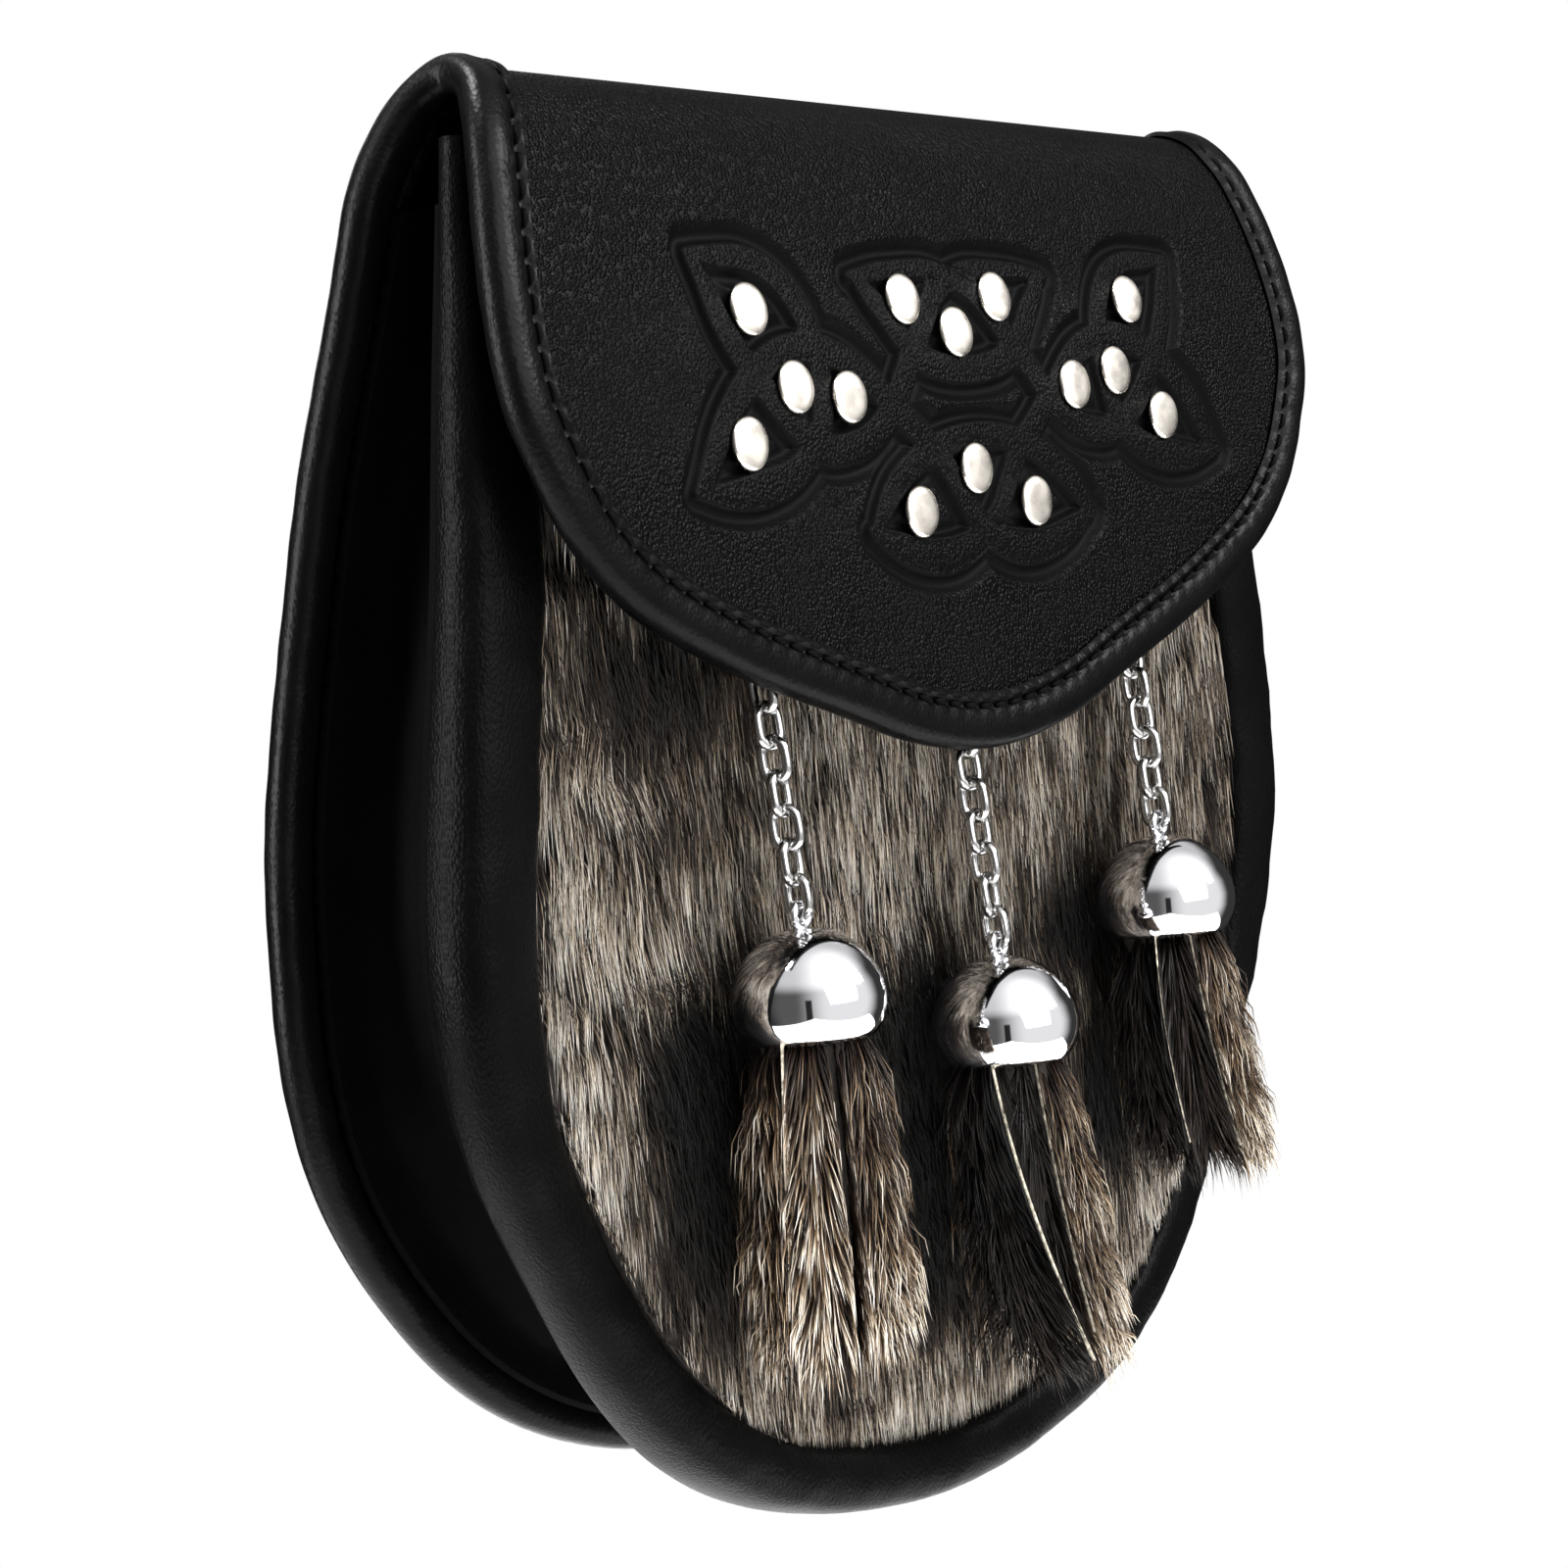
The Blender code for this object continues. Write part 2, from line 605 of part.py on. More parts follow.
def make_bell(name, place, finish):
    """A thin turned cap, open below, with a wire loop on top."""
    outside = [(BELL_RADIUS * radius, -BELL_HEIGHT * drop) for radius, drop in BELL_PROFILE]
    inside = [(max(radius - BELL_WALL, 0.0), height - (BELL_WALL if radius < 8.0 else 0.0))
              for radius, height in outside]
    inside[-1] = (outside[-1][0] - BELL_WALL, outside[-1][1])
    bm = bmesh.new()
    turned(bm, outside + inside[::-1], 14, place)
    bell = add_bmesh(name, bm, finish, smooth_angle=50.0)
    wire = LINK_WIRE * MM
    size = BELL_LOOP * MM - wire
    centre = place + Vector((0.0, 0.0, BELL_LOOP_RISE * MM))
    bm = bmesh.new()
    points = oval(centre, Vector((0, 0, 1)), Vector((1, 0, 0)), size, size)
    loft(bm, wire_ring(points, wire, 6), closed=True)
    fuse(bell, [add_bmesh(f"{name}_loop", bm, finish, smooth_angle=80.0)])


def make_tassel(name, place, length, shift, half_width, finish):
    """Strips of hide that spread from a round head in the bell."""
    head = [(0.0, -2.2)]
    for radius, drop in BELL_PROFILE[2:]:
        head.append((BELL_RADIUS * radius - BELL_WALL - 0.8, -BELL_HEIGHT * drop - BELL_WALL - 0.7))
    head[-1] = (head[-1][0], -BELL_HEIGHT)
    head += [(8.6, -BELL_HEIGHT - 5.0), (4.5, -BELL_HEIGHT - 12.0), (0.0, -BELL_HEIGHT - 14.0)]
    bm = bmesh.new()
    turned(bm, head, 10, place)
    tassel = add_bmesh(name, bm, finish)
    strips = []
    # across the strip from its middle to its edge: where it lies, how wide and how thick it is
    # share of the length, distance out, half width, half thickness
    sections = [
        (-0.05, 0.56, 4.8, 2.2), (0.12, 0.72, 6.0, 2.8), (0.40, 0.88, 7.2, 3.2), (0.70, 0.97, 7.4, 3.0),
        (0.90, 1.0, 5.6, 2.2), (1.0, 1.0, 2.2, 1.1),
    ]
    for number, (angle, share, spread) in enumerate(STRIP_ROWS, start=1):
        out = Vector((cos(radians(angle)), sin(radians(angle)) * TASSEL_DEPTH, 0.0))
        side = Vector((-out.y, out.x, 0.0)).normalized()
        rings = []
        for down, reach, half, thick in sections:
            middle = place + MM * (
                out * (half_width * spread * reach - thick) + Vector((shift * down * down, 0.0, 0.0))
                - Vector((0.0, 0.0, BELL_HEIGHT + length * share * down))
            )
            rings.append([
                middle + side * half * MM, middle + (side * half * 0.5 + out * thick) * MM,
                middle + (out * thick - side * half * 0.5) * MM, middle - side * half * MM,
                middle - out * thick * 0.5 * MM,
            ])
        bm = bmesh.new()
        loft(bm, rings)
        strips.append(add_bmesh(f"{name}_strip_{number}", bm, finish))
    fuse(tassel, strips)


# ---- hidden pieces ----

def make_press_stud(finish):
    """The clasp of the flap: a cap against the flap's inner face and a post to the front panel."""
    near = SHEET_ROWS[-2][0] + SHEET + GAP
    far = panel_depth(CLASP_HEIGHT) - GAP - 0.4
    profile = [
        (0.0, 0.0), (CLASP_RADIUS, 0.0), (CLASP_RADIUS, 1.6), (CLASP_POST, 2.6), (CLASP_POST, far - near),
        (0.0, far - near),
    ]
    bm = bmesh.new()
    turned(bm, profile, 12, Vector())
    bmesh.ops.rotate(bm, verts=bm.verts, cent=(0, 0, 0), matrix=Matrix.Rotation(radians(-90), 3, "X"))
    bmesh.ops.translate(bm, verts=bm.verts, vec=put(0.0, near, CLASP_HEIGHT))
    return add_bmesh("press_stud", bm, finish)


def make_belt_loop(finish):
    """A strap that stands off the back between two sewn feet."""
    middle = np.interp(LOOP_HEIGHT, *sheet_back()[:, [1, 2]].T)
    reach, rise, foot = LOOP_REACH, LOOP_RISE + GAP, LOOP_FOOT
    # run from the loop's middle, lift of its inner face
    inner = [(-reach - foot, GAP), (-reach, GAP), (-reach + 4.5, rise - 0.8), (-reach + 7.0, rise),
             (0.0, rise), (reach - 7.0, rise), (reach - 4.5, rise - 0.8), (reach, GAP), (reach + foot, GAP)]
    outer = [(run, lift + LOOP_THICKNESS) for run, lift in inner]
    section = inner + outer[::-1]
    rings = [[on_sheet(middle + run, side * LOOP_WIDTH / 2, lift) for run, lift in section]
             for side in (-1, 1)]
    bm = bmesh.new()
    loft(bm, rings)
    return add_bmesh("belt_loop", bm, finish)


def sheet_back():
    """The back's part of the sheet: depth, height and run, from the bottom up."""
    top = np.argmax(sheet_curve[:, 1])
    return np.stack([sheet_curve[:top, 0], sheet_curve[:top, 1], sheet_run[:top]], axis=1)


def cut_fur(fur, finish):
    """Slots through the fur for the staples, and a hole for the clasp's post."""
    deep = 40.0
    cutters = []
    for name, across, bell, *_ in DROPS:
        bm = bmesh.new()
        bmesh.ops.create_cube(
            bm, size=MM, matrix=Matrix.Translation(put(across, deep / 2, staple_height(bell)))
            @ Matrix.Diagonal((STAPLE_WIDTH + 2 * FUR_CLEARANCE, deep, STAPLE_WIRE + 2 * FUR_CLEARANCE, 1.0)),
        )
        cutters.append(add_bmesh(f"slot_{name}", bm, finish))
    bm = bmesh.new()
    radius = (CLASP_POST + FUR_CLEARANCE) * MM
    bmesh.ops.create_cone(
        bm, cap_ends=True, segments=10, radius1=radius, radius2=radius, depth=deep * MM,
        matrix=Matrix.Translation(put(0.0, deep / 2, CLASP_HEIGHT)) @ Matrix.Rotation(radians(90), 4, "X"),
    )
    cutters.append(add_bmesh("hole_clasp", bm, finish))
    fuse(fur, cutters, "DIFFERENCE")


def main():
    for old in list(bpy.data.objects):
        bpy.data.objects.remove(old)
    grain = material("Grained leather", (0.012, 0.012, 0.014), 0.5)
    smooth = material("Smooth leather", (0.01, 0.01, 0.011), 0.42)
    fur = material("Hair-on hide", (0.23, 0.18, 0.14), 0.75)
    chrome = material("Chrome", (0.75, 0.75, 0.76), 0.07, 1.0)
    nickel = material("Nickel", (0.74, 0.71, 0.66), 0.16, 1.0)

    make_back_flap_panel(grain)
    make_edge_binding(smooth)
    make_gusset(smooth)
    make_front_panel(grain)
    make_front_frame(smooth)
    cut_fur(make_fur_panel(fur), fur)
    make_studs(nickel)
    make_press_stud(nickel)
    make_belt_loop(smooth)
    for name, across, bell, length, shift, half_width in DROPS:
        bell_top = put(across, BELL_DEPTH, bell)
        make_staple(f"staple_{name}", across, staple_height(bell), chrome)
        make_chain(f"chain_{name}", across, bell, chrome)
        make_bell(f"bell_{name}", bell_top, chrome)
        make_tassel(f"tassel_{name}", bell_top, length, shift, half_width, fur)


main()
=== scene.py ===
# Sporran pouch, dressed for the picture: an embossed leather flap and its bound edge, a padded rim,
# a front of hair-on hide, link chains with chrome bells, and three tassels of hide strips.
import bmesh
import bpy
import numpy as np
from math import cos, pi, radians, sin
from mathutils import Matrix, Vector


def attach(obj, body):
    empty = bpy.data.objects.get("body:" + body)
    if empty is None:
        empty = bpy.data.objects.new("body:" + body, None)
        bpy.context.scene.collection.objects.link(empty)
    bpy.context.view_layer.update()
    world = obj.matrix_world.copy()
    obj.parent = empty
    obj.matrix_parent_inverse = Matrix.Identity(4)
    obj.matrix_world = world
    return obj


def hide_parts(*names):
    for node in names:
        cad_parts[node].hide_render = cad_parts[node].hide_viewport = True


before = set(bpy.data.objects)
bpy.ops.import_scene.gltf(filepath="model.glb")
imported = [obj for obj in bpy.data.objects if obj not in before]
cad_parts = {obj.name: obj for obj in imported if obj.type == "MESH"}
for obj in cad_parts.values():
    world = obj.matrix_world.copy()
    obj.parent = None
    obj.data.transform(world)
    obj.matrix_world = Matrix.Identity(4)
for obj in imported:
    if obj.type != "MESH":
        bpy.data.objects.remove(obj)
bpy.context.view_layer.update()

mm = 0.001
rng = np.random.default_rng(7)

# Sizes are in millimetres. Depths count from the flap's face towards the wearer and heights from the
# middle of the stud pattern; at() moves both to the belt loop, which is the part's origin.
loopDepth, loopHeight = 52.0, -25.0


def at(across, depth, height):
    across, depth, height = np.broadcast_arrays(across, depth, height)
    return np.stack([across, depth - loopDepth, height - loopHeight], axis=-1) * mm


def through(rows, perSpan=24, mirrored=None):
    # points of a smooth curve through a table's rows, square to the middle where column mirrored is 0
    rows = np.array(rows, float)

    def beyond(end, inner):
        if mirrored is not None and end[mirrored] == 0.0:
            ghost = inner.copy()
            ghost[mirrored] *= -1.0
            return ghost
        return 2.0 * end - inner

    knots = np.array([beyond(rows[0], rows[1]), *rows, beyond(rows[-1], rows[-2])])
    p0, p1, p2, p3 = (knots[i:len(knots) - 3 + i, None, :] for i in range(4))
    spans = np.linalg.norm(np.diff(knots, axis=0), axis=1)[:, None, None] ** 0.5
    t1, t2, t3 = np.cumsum([spans[:-2], spans[1:-1], spans[2:]], axis=0)
    t = t1 + (t2 - t1) * (np.arange(perSpan) / perSpan)[None, :, None]

    def mixed(a, b, start, end):
        return a * (end - t) / (end - start) + b * (t - start) / (end - start)

    first, second, third = mixed(p0, p1, 0.0, t1), mixed(p1, p2, t1, t2), mixed(p2, p3, t2, t3)
    points = mixed(mixed(first, second, 0.0, t2), mixed(second, third, t1, t3), t1, t2)
    return np.concatenate([points.reshape(-1, rows.shape[1]), rows[-1:]])


def readAt(places, run, table):
    # a table's columns, read at places along its run
    return np.stack([np.interp(places, run, column) for column in table.T])


def along(table, share):
    return readAt(share, np.linspace(0.0, 1.0, len(table)), table)


def unit(ways):
    return ways / np.maximum(np.linalg.norm(ways, axis=-1, keepdims=True), 1e-12)


def evenly(points, count, places, turnWeight=0.0):
    # points read at even steps along places; a turn of one radian counts as turnWeight millimetres
    steps = np.diff(places, axis=0)
    ways = unit(steps)
    measure = np.linalg.norm(steps, axis=1)
    measure[1:] += turnWeight * np.arccos(np.clip((ways[1:] * ways[:-1]).sum(axis=1), -1.0, 1.0))
    run = np.concatenate([[0.0], np.cumsum(measure)])
    return readAt(np.linspace(0.0, run[-1], count), run, points).T


def toRight(line):
    way = unit(np.gradient(line, axis=0))
    return np.stack([way[:, 1], -way[:, 0]], axis=1)


def smoothStep(low, high, value):
    share = np.clip((value - low) / (high - low), 0.0, 1.0)
    return share * share * (3.0 - 2.0 * share)


def softNoise(points, size, seed):
    # smooth noise from about -1 to 1, a sum of waves each finer than the last, with lumps about size across
    turner = np.random.default_rng(seed)
    waves, finer, swing = 5, 0.35, 3.2
    total = 0.0
    for wave in range(waves):
        way = turner.normal(size=points.shape[-1])
        way *= (1.0 + finer * wave) / np.linalg.norm(way)
        total = total + np.sin(points @ way * pi / size + turner.uniform(0.0, 2.0 * pi))
    return total / swing


def mounds(rows, across, height):
    # a sum of soft round rises: across, height, reach across, reach down, how much
    return sum(much * np.exp(-((across - x) / reachX) ** 2 - ((height - z) / reachZ) ** 2)
               for x, z, reachX, reachZ, much in rows)


def closed(line):
    return np.concatenate([line, line[:1]])


def rounded(points, times=2):
    # a closed section with its corners cut times over
    points = np.array(points, float)
    for _ in range(times):
        following = np.roll(points, -1, axis=0)
        points = np.stack([0.75 * points + 0.25 * following, 0.25 * points + 0.75 * following], axis=1)
        points = points.reshape(-1, points.shape[-1])
    return points


# Materials, each named for what the real one is and how its surface was made

def hexColour(text):
    # an sRGB hex value as a linear colour
    values = [int(text[i:i + 2], 16) / 255.0 for i in (1, 3, 5)]
    return (*[v / 12.92 if v <= 0.04045 else ((v + 0.055) / 1.055) ** 2.4 for v in values], 1.0)


def setInputs(node, inputs):
    for key, value in inputs.items():
        if isinstance(value, bpy.types.NodeSocket):
            node.id_data.links.new(value, node.inputs[key])
        else:
            node.inputs[key].default_value = value


def addNode(tree, kind, inputs, take=None, stops=(), **settings):
    # gives back the output called take, or the first one in use
    # stops are the places of a colour ramp, each with a hex colour or a grey
    node = tree.nodes.new("ShaderNode" + kind)
    for key, value in settings.items():
        setattr(node, key, value)
    for _ in stops[2:]:
        node.color_ramp.elements.new(0.5)
    for number, (place, colour) in enumerate(stops):
        element = node.color_ramp.elements[number]
        element.position = place
        element.color = hexColour(colour) if isinstance(colour, str) else (colour, colour, colour, 1.0)
    setInputs(node, inputs)
    return node.outputs[take] if take else next(output for output in node.outputs if output.enabled)


def newMaterial(name):
    material = bpy.data.materials.new(name)
    material.use_nodes = True
    tree = material.node_tree
    return material, tree, tree.nodes["Principled BSDF"]


def makeLeather(name, cell, bump, dark, light, rough, sheen, stretch=(1.0, 1.0, 1.0), pressed=False):
    # Full-grain cattle leather, drum-dyed black: the pebbles of its grain, each a cell wide and bump high in
    # millimetres, break the sheen into small glints, and the valleys between them are darkened with painted
    # shade
    material, tree, shader = newMaterial(name)
    place = addNode(tree, "TexCoord", {}, "Object")
    cell = cell * mm
    place = addNode(tree, "Mapping", {"Vector": place, "Scale": stretch})
    warp = addNode(tree, "TexNoise", {"Vector": place, "Scale": 0.35 / cell, "Detail": 2.0}, "Color")
    warp = addNode(tree, "VectorMath", {0: warp, 3: 0.5 * cell}, operation="SCALE")
    place = addNode(tree, "VectorMath", {0: place, 1: warp}, operation="ADD")
    cells = addNode(tree, "TexVoronoi", {"Vector": place, "Scale": 1.0 / cell})
    fine = addNode(tree, "TexNoise", {"Vector": place, "Scale": 2.5 / cell, "Detail": 2.0})
    # lumps about 18 mm wide, from stretching and handling
    broad = addNode(tree, "TexNoise", {"Vector": place, "Scale": 55.0, "Detail": 3.0, "Roughness": 0.55})
    pebble = addNode(tree, "ValToRGB", {"Fac": cells},
                     stops=[(0.0, 1.0), (0.22, 0.85), (0.5, 0.35), (0.75, 0.0)])
    grain = addNode(tree, "Mix", {"Factor": 0.12, "A": pebble, "B": fine}, data_type="RGBA")
    strength = addNode(tree, "ValToRGB", {"Fac": broad}, stops=[(0.35, 0.7), (0.65, 1.0)])
    tint = addNode(tree, "ValToRGB", {"Fac": broad}, stops=[(0.3, 0.0), (0.7, 1.0)])
    colour = addNode(tree, "Mix", {"Factor": tint, "A": hexColour(dark), "B": hexColour(light)},
                     data_type="RGBA")
    # painted shade: the valleys between the pebbles are darkened in the colour
    valleyShade = addNode(tree, "ValToRGB", {"Fac": cells}, stops=[(0.35, 0.0), (0.65, 0.8)])
    colour = addNode(tree, "Mix", {"Factor": valleyShade, "A": colour, "B": hexColour("#030303")},
                     data_type="RGBA")
    gloss = addNode(tree, "MapRange", {"Value": broad, "From Min": 0.3, "From Max": 0.7,
                                       "To Min": rough - 0.04, "To Max": rough + 0.05})
    if pressed:
        # the hot stamp flattens the grain and leaves the leather matt; the colour there is also darkened,
        # partly the burnish of the stamp and partly painted shade in the knot's grooves and windows
        hot = addNode(tree, "Attribute", {}, "Fac", attribute_name="pressed")
        kept = addNode(tree, "Math", {0: 1.0, 1: hot}, operation="SUBTRACT")
        strength = addNode(tree, "Math", {0: strength, 1: kept}, operation="MULTIPLY")
        matt = addNode(tree, "Math", {0: hot, 1: 0.3}, operation="MULTIPLY")
        gloss = addNode(tree, "Math", {0: gloss, 1: matt}, operation="ADD")
        # stamp's burnish and painted shade in the grooves: the colour is mixed towards near black
        colour = addNode(tree, "Mix", {"Factor": hot, "A": colour, "B": hexColour("#020202")},
                         data_type="RGBA")
    relief = addNode(tree, "Bump", {"Strength": strength, "Distance": bump * mm, "Height": grain})
    setInputs(shader, {"Base Color": colour, "Roughness": gloss, "Normal": relief, "IOR": 1.5,
                       "Specular IOR Level": sheen})
    return material


def makeMetal(name, colour, rough, smear):
    # Plated metal, with a faint haze from handling, in lumps of about 4 mm, that only shows in its roughness
    material, tree, shader = newMaterial(name)
    place = addNode(tree, "TexCoord", {}, "Object")
    haze = addNode(tree, "TexNoise", {"Vector": place, "Scale": 260.0, "Detail": 3.0})
    gloss = addNode(tree, "MapRange", {"Value": haze, "From Min": 0.35, "From Max": 0.75,
                                       "To Min": rough, "To Max": rough + smear})
    setInputs(shader, {"Base Color": hexColour(colour), "Roughness": gloss, "Metallic": 1.0})
    return material


def makeThread(name, colour):
    # Bonded polyester thread: its plies, 0.4 mm apart, catch the light along the twist
    material, tree, shader = newMaterial(name)
    place = addNode(tree, "TexCoord", {}, "Object")
    ply = addNode(tree, "TexNoise", {"Vector": place, "Scale": 2600.0, "Detail": 1.0})
    setInputs(shader, {
        "Base Color": addNode(tree, "ValToRGB", {"Fac": ply}, stops=[(0.3, "#020202"), (0.75, colour)]),
        "Normal": addNode(tree, "Bump", {"Strength": 0.6, "Distance": 0.1 * mm, "Height": ply}),
        "Roughness": 0.6, "Specular IOR Level": 0.03})
    return material


def makeHair(name, darkest, dark, middle, light, lightest):
    # Agouti hair of a hair-on hide: each hair has a dark root and a pale tip. The map's u is how pale
    # a hair is. Its v runs from root to tip, in the lower half for warm hairs and the upper for cool ones.
    material, tree, shader = newMaterial(name)
    mapped = addNode(tree, "UVMap", {}, uv_map="OFBake")
    paleness = addNode(tree, "SeparateXYZ", {"Vector": mapped}, "X")
    which = paleness.node.outputs["Y"]
    twice = addNode(tree, "Math", {0: which, 1: 2.0}, operation="MULTIPLY")
    rootToTip = addNode(tree, "Math", {0: twice, 1: 1.0}, operation="MODULO")
    cool = addNode(tree, "Math", {0: which, 1: 0.5}, operation="GREATER_THAN")
    rise = addNode(tree, "ValToRGB", {"Fac": rootToTip},
                   stops=[(0.0, 0.0), (0.35, 0.3), (0.75, 0.85), (1.0, 1.0)])
    pale = addNode(tree, "Math", {0: paleness, 1: rise}, operation="MULTIPLY")
    warm = addNode(tree, "ValToRGB", {"Fac": pale},
                   stops=[(0.0, darkest), (0.28, dark), (0.5, middle), (0.68, light), (0.9, lightest)])
    grey = addNode(tree, "HueSaturation", {"Color": warm, "Saturation": 0.62, "Value": 1.04})
    colour = addNode(tree, "Mix", {"Factor": cool, "A": warm, "B": grey}, data_type="RGBA")
    setInputs(shader, {"Base Color": colour, "Roughness": 0.42, "IOR": 1.55, "Specular IOR Level": 0.2})
    return material


def makeSkin(name, colour):
    # The hide's own skin with its underfur, fuzzy at 1 mm and dull
    material, tree, shader = newMaterial(name)
    place = addNode(tree, "TexCoord", {}, "Object")
    fuzz = addNode(tree, "TexNoise", {"Vector": place, "Scale": 900.0, "Detail": 4.0})
    setInputs(shader, {
        "Base Color": addNode(tree, "ValToRGB", {"Fac": fuzz}, stops=[(0.3, "#0a0807"), (0.7, colour)]),
        "Normal": addNode(tree, "Bump", {"Strength": 0.8, "Distance": 0.4 * mm, "Height": fuzz}),
        "Roughness": 0.9})
    return material


grainLeather = makeLeather("Pebbled full-grain leather", cell=0.62, bump=0.27, dark="#030304",
                           light="#050506", rough=0.30, sheen=0.035, pressed=True)
bindingLeather = makeLeather("Smooth calf binding leather", cell=0.8, bump=0.05, dark="#020203",
                             light="#040405", rough=0.36, sheen=0.055)
rimLeather = makeLeather("Drawn calf rim leather", cell=0.5, bump=0.09, dark="#020202",
                         light="#040404", rough=0.40, sheen=0.03, stretch=(1.0, 1.0, 0.6))
gussetLeather = makeLeather("Soft gusset leather", cell=0.6, bump=0.04, dark="#010101",
                            light="#030303", rough=0.6, sheen=0.01)
threadBlack = makeThread("Black bonded thread", "#040404")
chrome = makeMetal("Polished chrome plate", "#ededf0", rough=0.04, smear=0.05)
chainSteel = makeMetal("Plated steel chain", "#b2b1b0", rough=0.15, smear=0.10)
nickel = makeMetal("Brushed nickel plate", "#ebe4da", rough=0.24, smear=0.14)
furHair = makeHair("Badger-grey hide hair", "#060403", "#33271e", "#8d7e6b", "#d0c4b2", "#faf4ea")
tasselHair = makeHair("Tassel hide hair", "#050302", "#32231a", "#80694f", "#d6c8b2", "#fdf6ea")
skin = makeSkin("Hide skin", "#2a221c")
cutHide = makeSkin("Cut edge of pale hide", "#d9cfba")
print("materials made")


# How pieces are made and dressed

def addPiece(name, bm, material, replaced=(), sharp=40.0):
    bmesh.ops.recalc_face_normals(bm, faces=bm.faces)
    mesh = bpy.data.meshes.new(name)
    bm.to_mesh(mesh)
    bm.free()
    mesh.shade_smooth()
    mesh.set_sharp_from_angle(angle=radians(sharp))
    return dress(name, mesh, material, replaced)


def dress(name, mesh, material, replaced=()):
    mesh.materials.append(material)
    piece = bpy.data.objects.new(name, mesh)
    bpy.context.collection.objects.link(piece)
    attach(piece, "root")
    if replaced:
        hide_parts(*replaced)
    return piece


def moveInto(bm, part):
    # adds a finished small bmesh to a piece's
    mesh = bpy.data.meshes.new("part")
    part.to_mesh(mesh)
    part.free()
    bm.from_mesh(mesh)
    bpy.data.meshes.remove(mesh)


def remap(bm, place):
    old = np.array([vert.co for vert in bm.verts])
    for vert, new in zip(bm.verts, place(*old.T)):
        vert.co = new


def sweep(around, lengthwise, place):
    # a grid rolled into a tube: place(share round the section, share along) gives its points
    bm = bmesh.new()
    bmesh.ops.create_grid(bm, x_segments=around, y_segments=lengthwise, size=0.5)
    remap(bm, lambda x, y, _: place(x + 0.5, y + 0.5))
    bmesh.ops.remove_doubles(bm, verts=bm.verts, dist=1e-7)
    ends = [edge for edge in bm.edges if edge.is_boundary]
    if ends:
        bmesh.ops.holes_fill(bm, edges=ends, sides=0)
    return bm


def slab(columns, rows):
    # a closed sheet with its outer face at z 0 and its inner face at z -1, to be remapped
    bm = bmesh.new()
    bmesh.ops.create_grid(bm, x_segments=columns, y_segments=rows, size=0.5)
    grown = bmesh.ops.extrude_face_region(bm, geom=bm.faces[:], use_keep_orig=True)["geom"]
    inner = [item for item in grown if isinstance(item, bmesh.types.BMVert)]
    bmesh.ops.translate(bm, verts=inner, vec=(0.0, 0.0, -1.0))
    return bm


def addCopies(name, shape, placed, material, tones=None):
    # one mesh of many copies of a small shape: placed holds each copy's points, tones its map's u and v
    bmesh.ops.triangulate(shape, faces=shape.faces)
    corners = np.array([loop.vert.index for face in shape.faces for loop in face.loops])
    shape.free()
    count, size = placed.shape[:2]
    index = (corners + np.arange(count)[:, None] * size).ravel()
    mesh = bpy.data.meshes.new(name)
    mesh.vertices.add(count * size)
    mesh.vertices.foreach_set("co", placed.astype(np.float32).ravel())
    mesh.loops.add(len(index))
    mesh.loops.foreach_set("vertex_index", index.astype(np.int32))
    mesh.polygons.add(len(index) // 3)
    mesh.polygons.foreach_set("loop_start", np.arange(0, len(index), 3, dtype=np.int32))
    if tones is not None:
        layer = mesh.uv_layers.new(name="OFBake")
        layer.data.foreach_set("uv", tones.reshape(-1, 2)[index].astype(np.float32).ravel())
    mesh.update(calc_edges=True)
    mesh.shade_smooth()
    return dress(name, mesh, material)


# The folded sheet of grained leather

sheetShape = {
    # depth, height, half width: from the bottom of the back, over the arch, to the tip of the flap
    "rows": [
        (56.0, -171.0, 0.0), (56.0, -169.4, 40.0), (56.0, -165.0, 57.0), (56.0, -157.0, 74.0),
        (56.0, -145.0, 89.5), (56.0, -126.0, 104.5), (56.0, -110.0, 112.0), (55.4, -94.0, 115.6),
        (54.6, -79.0, 116.4), (53.4, -60.0, 116.0), (51.4, -42.0, 114.0), (48.6, -25.0, 112.0),
        (44.4, -8.0, 111.0), (39.2, 8.0, 110.0), (34.6, 21.0, 109.0), (30.9, 32.0, 107.7),
        (27.8, 39.2, 105.0), (23.7, 45.0, 102.2), (18.0, 47.8, 100.4), (12.2, 46.0, 101.6),
        (8.3, 40.7, 104.1), (5.9, 33.0, 106.4), (3.8, 22.0, 108.8), (2.0, 10.0, 109.9),
        (0.9, 0.0, 109.0), (0.4, -10.0, 104.8), (0.2, -20.0, 98.7), (0.2, -30.0, 87.7),
        (0.2, -40.0, 67.4), (0.2, -50.0, 39.0), (0.2, -56.0, 21.0), (0.2, -58.8, 0.0),
    ],
    "thickness": 2.6,
    "inset": 1.9,               # from the binding's outer edge to the cut edge
    "droop": 3.7,               # how much lower the arch is 100 mm to the right
    "droopFrom": 8.0,           # between these levels the droop sets in
    "droopTo": 44.0,
    "turnWeight": 45.0,         # a turn of one radian gets as many steps as this many millimetres
    "outlineSteps": 1600,
    "columns": 60,
    "rowsAlong": 132,
    "polesOpen": 1.006,         # both ends stay a few millimetres wide
    "fineCuts": (2, 2),         # extra rows and columns near the embossing, and again along its grooves
    "fineWindow": (78.0, -35.0, 28.0),      # reach across from the knot's middle, lowest and highest level
    "fineReach": (-1.6, 4.9),   # from a strap's edge, inwards and outwards
}

sheetCurve = through(sheetShape["rows"], mirrored=2)
sheetRun = np.concatenate([[0.0], np.cumsum(np.hypot(*np.diff(sheetCurve[:, :2], axis=0).T))])
sheetWay = unit(np.gradient(sheetCurve[:, :2], axis=0))
archRun = sheetRun[np.argmax(sheetCurve[:, 1])]


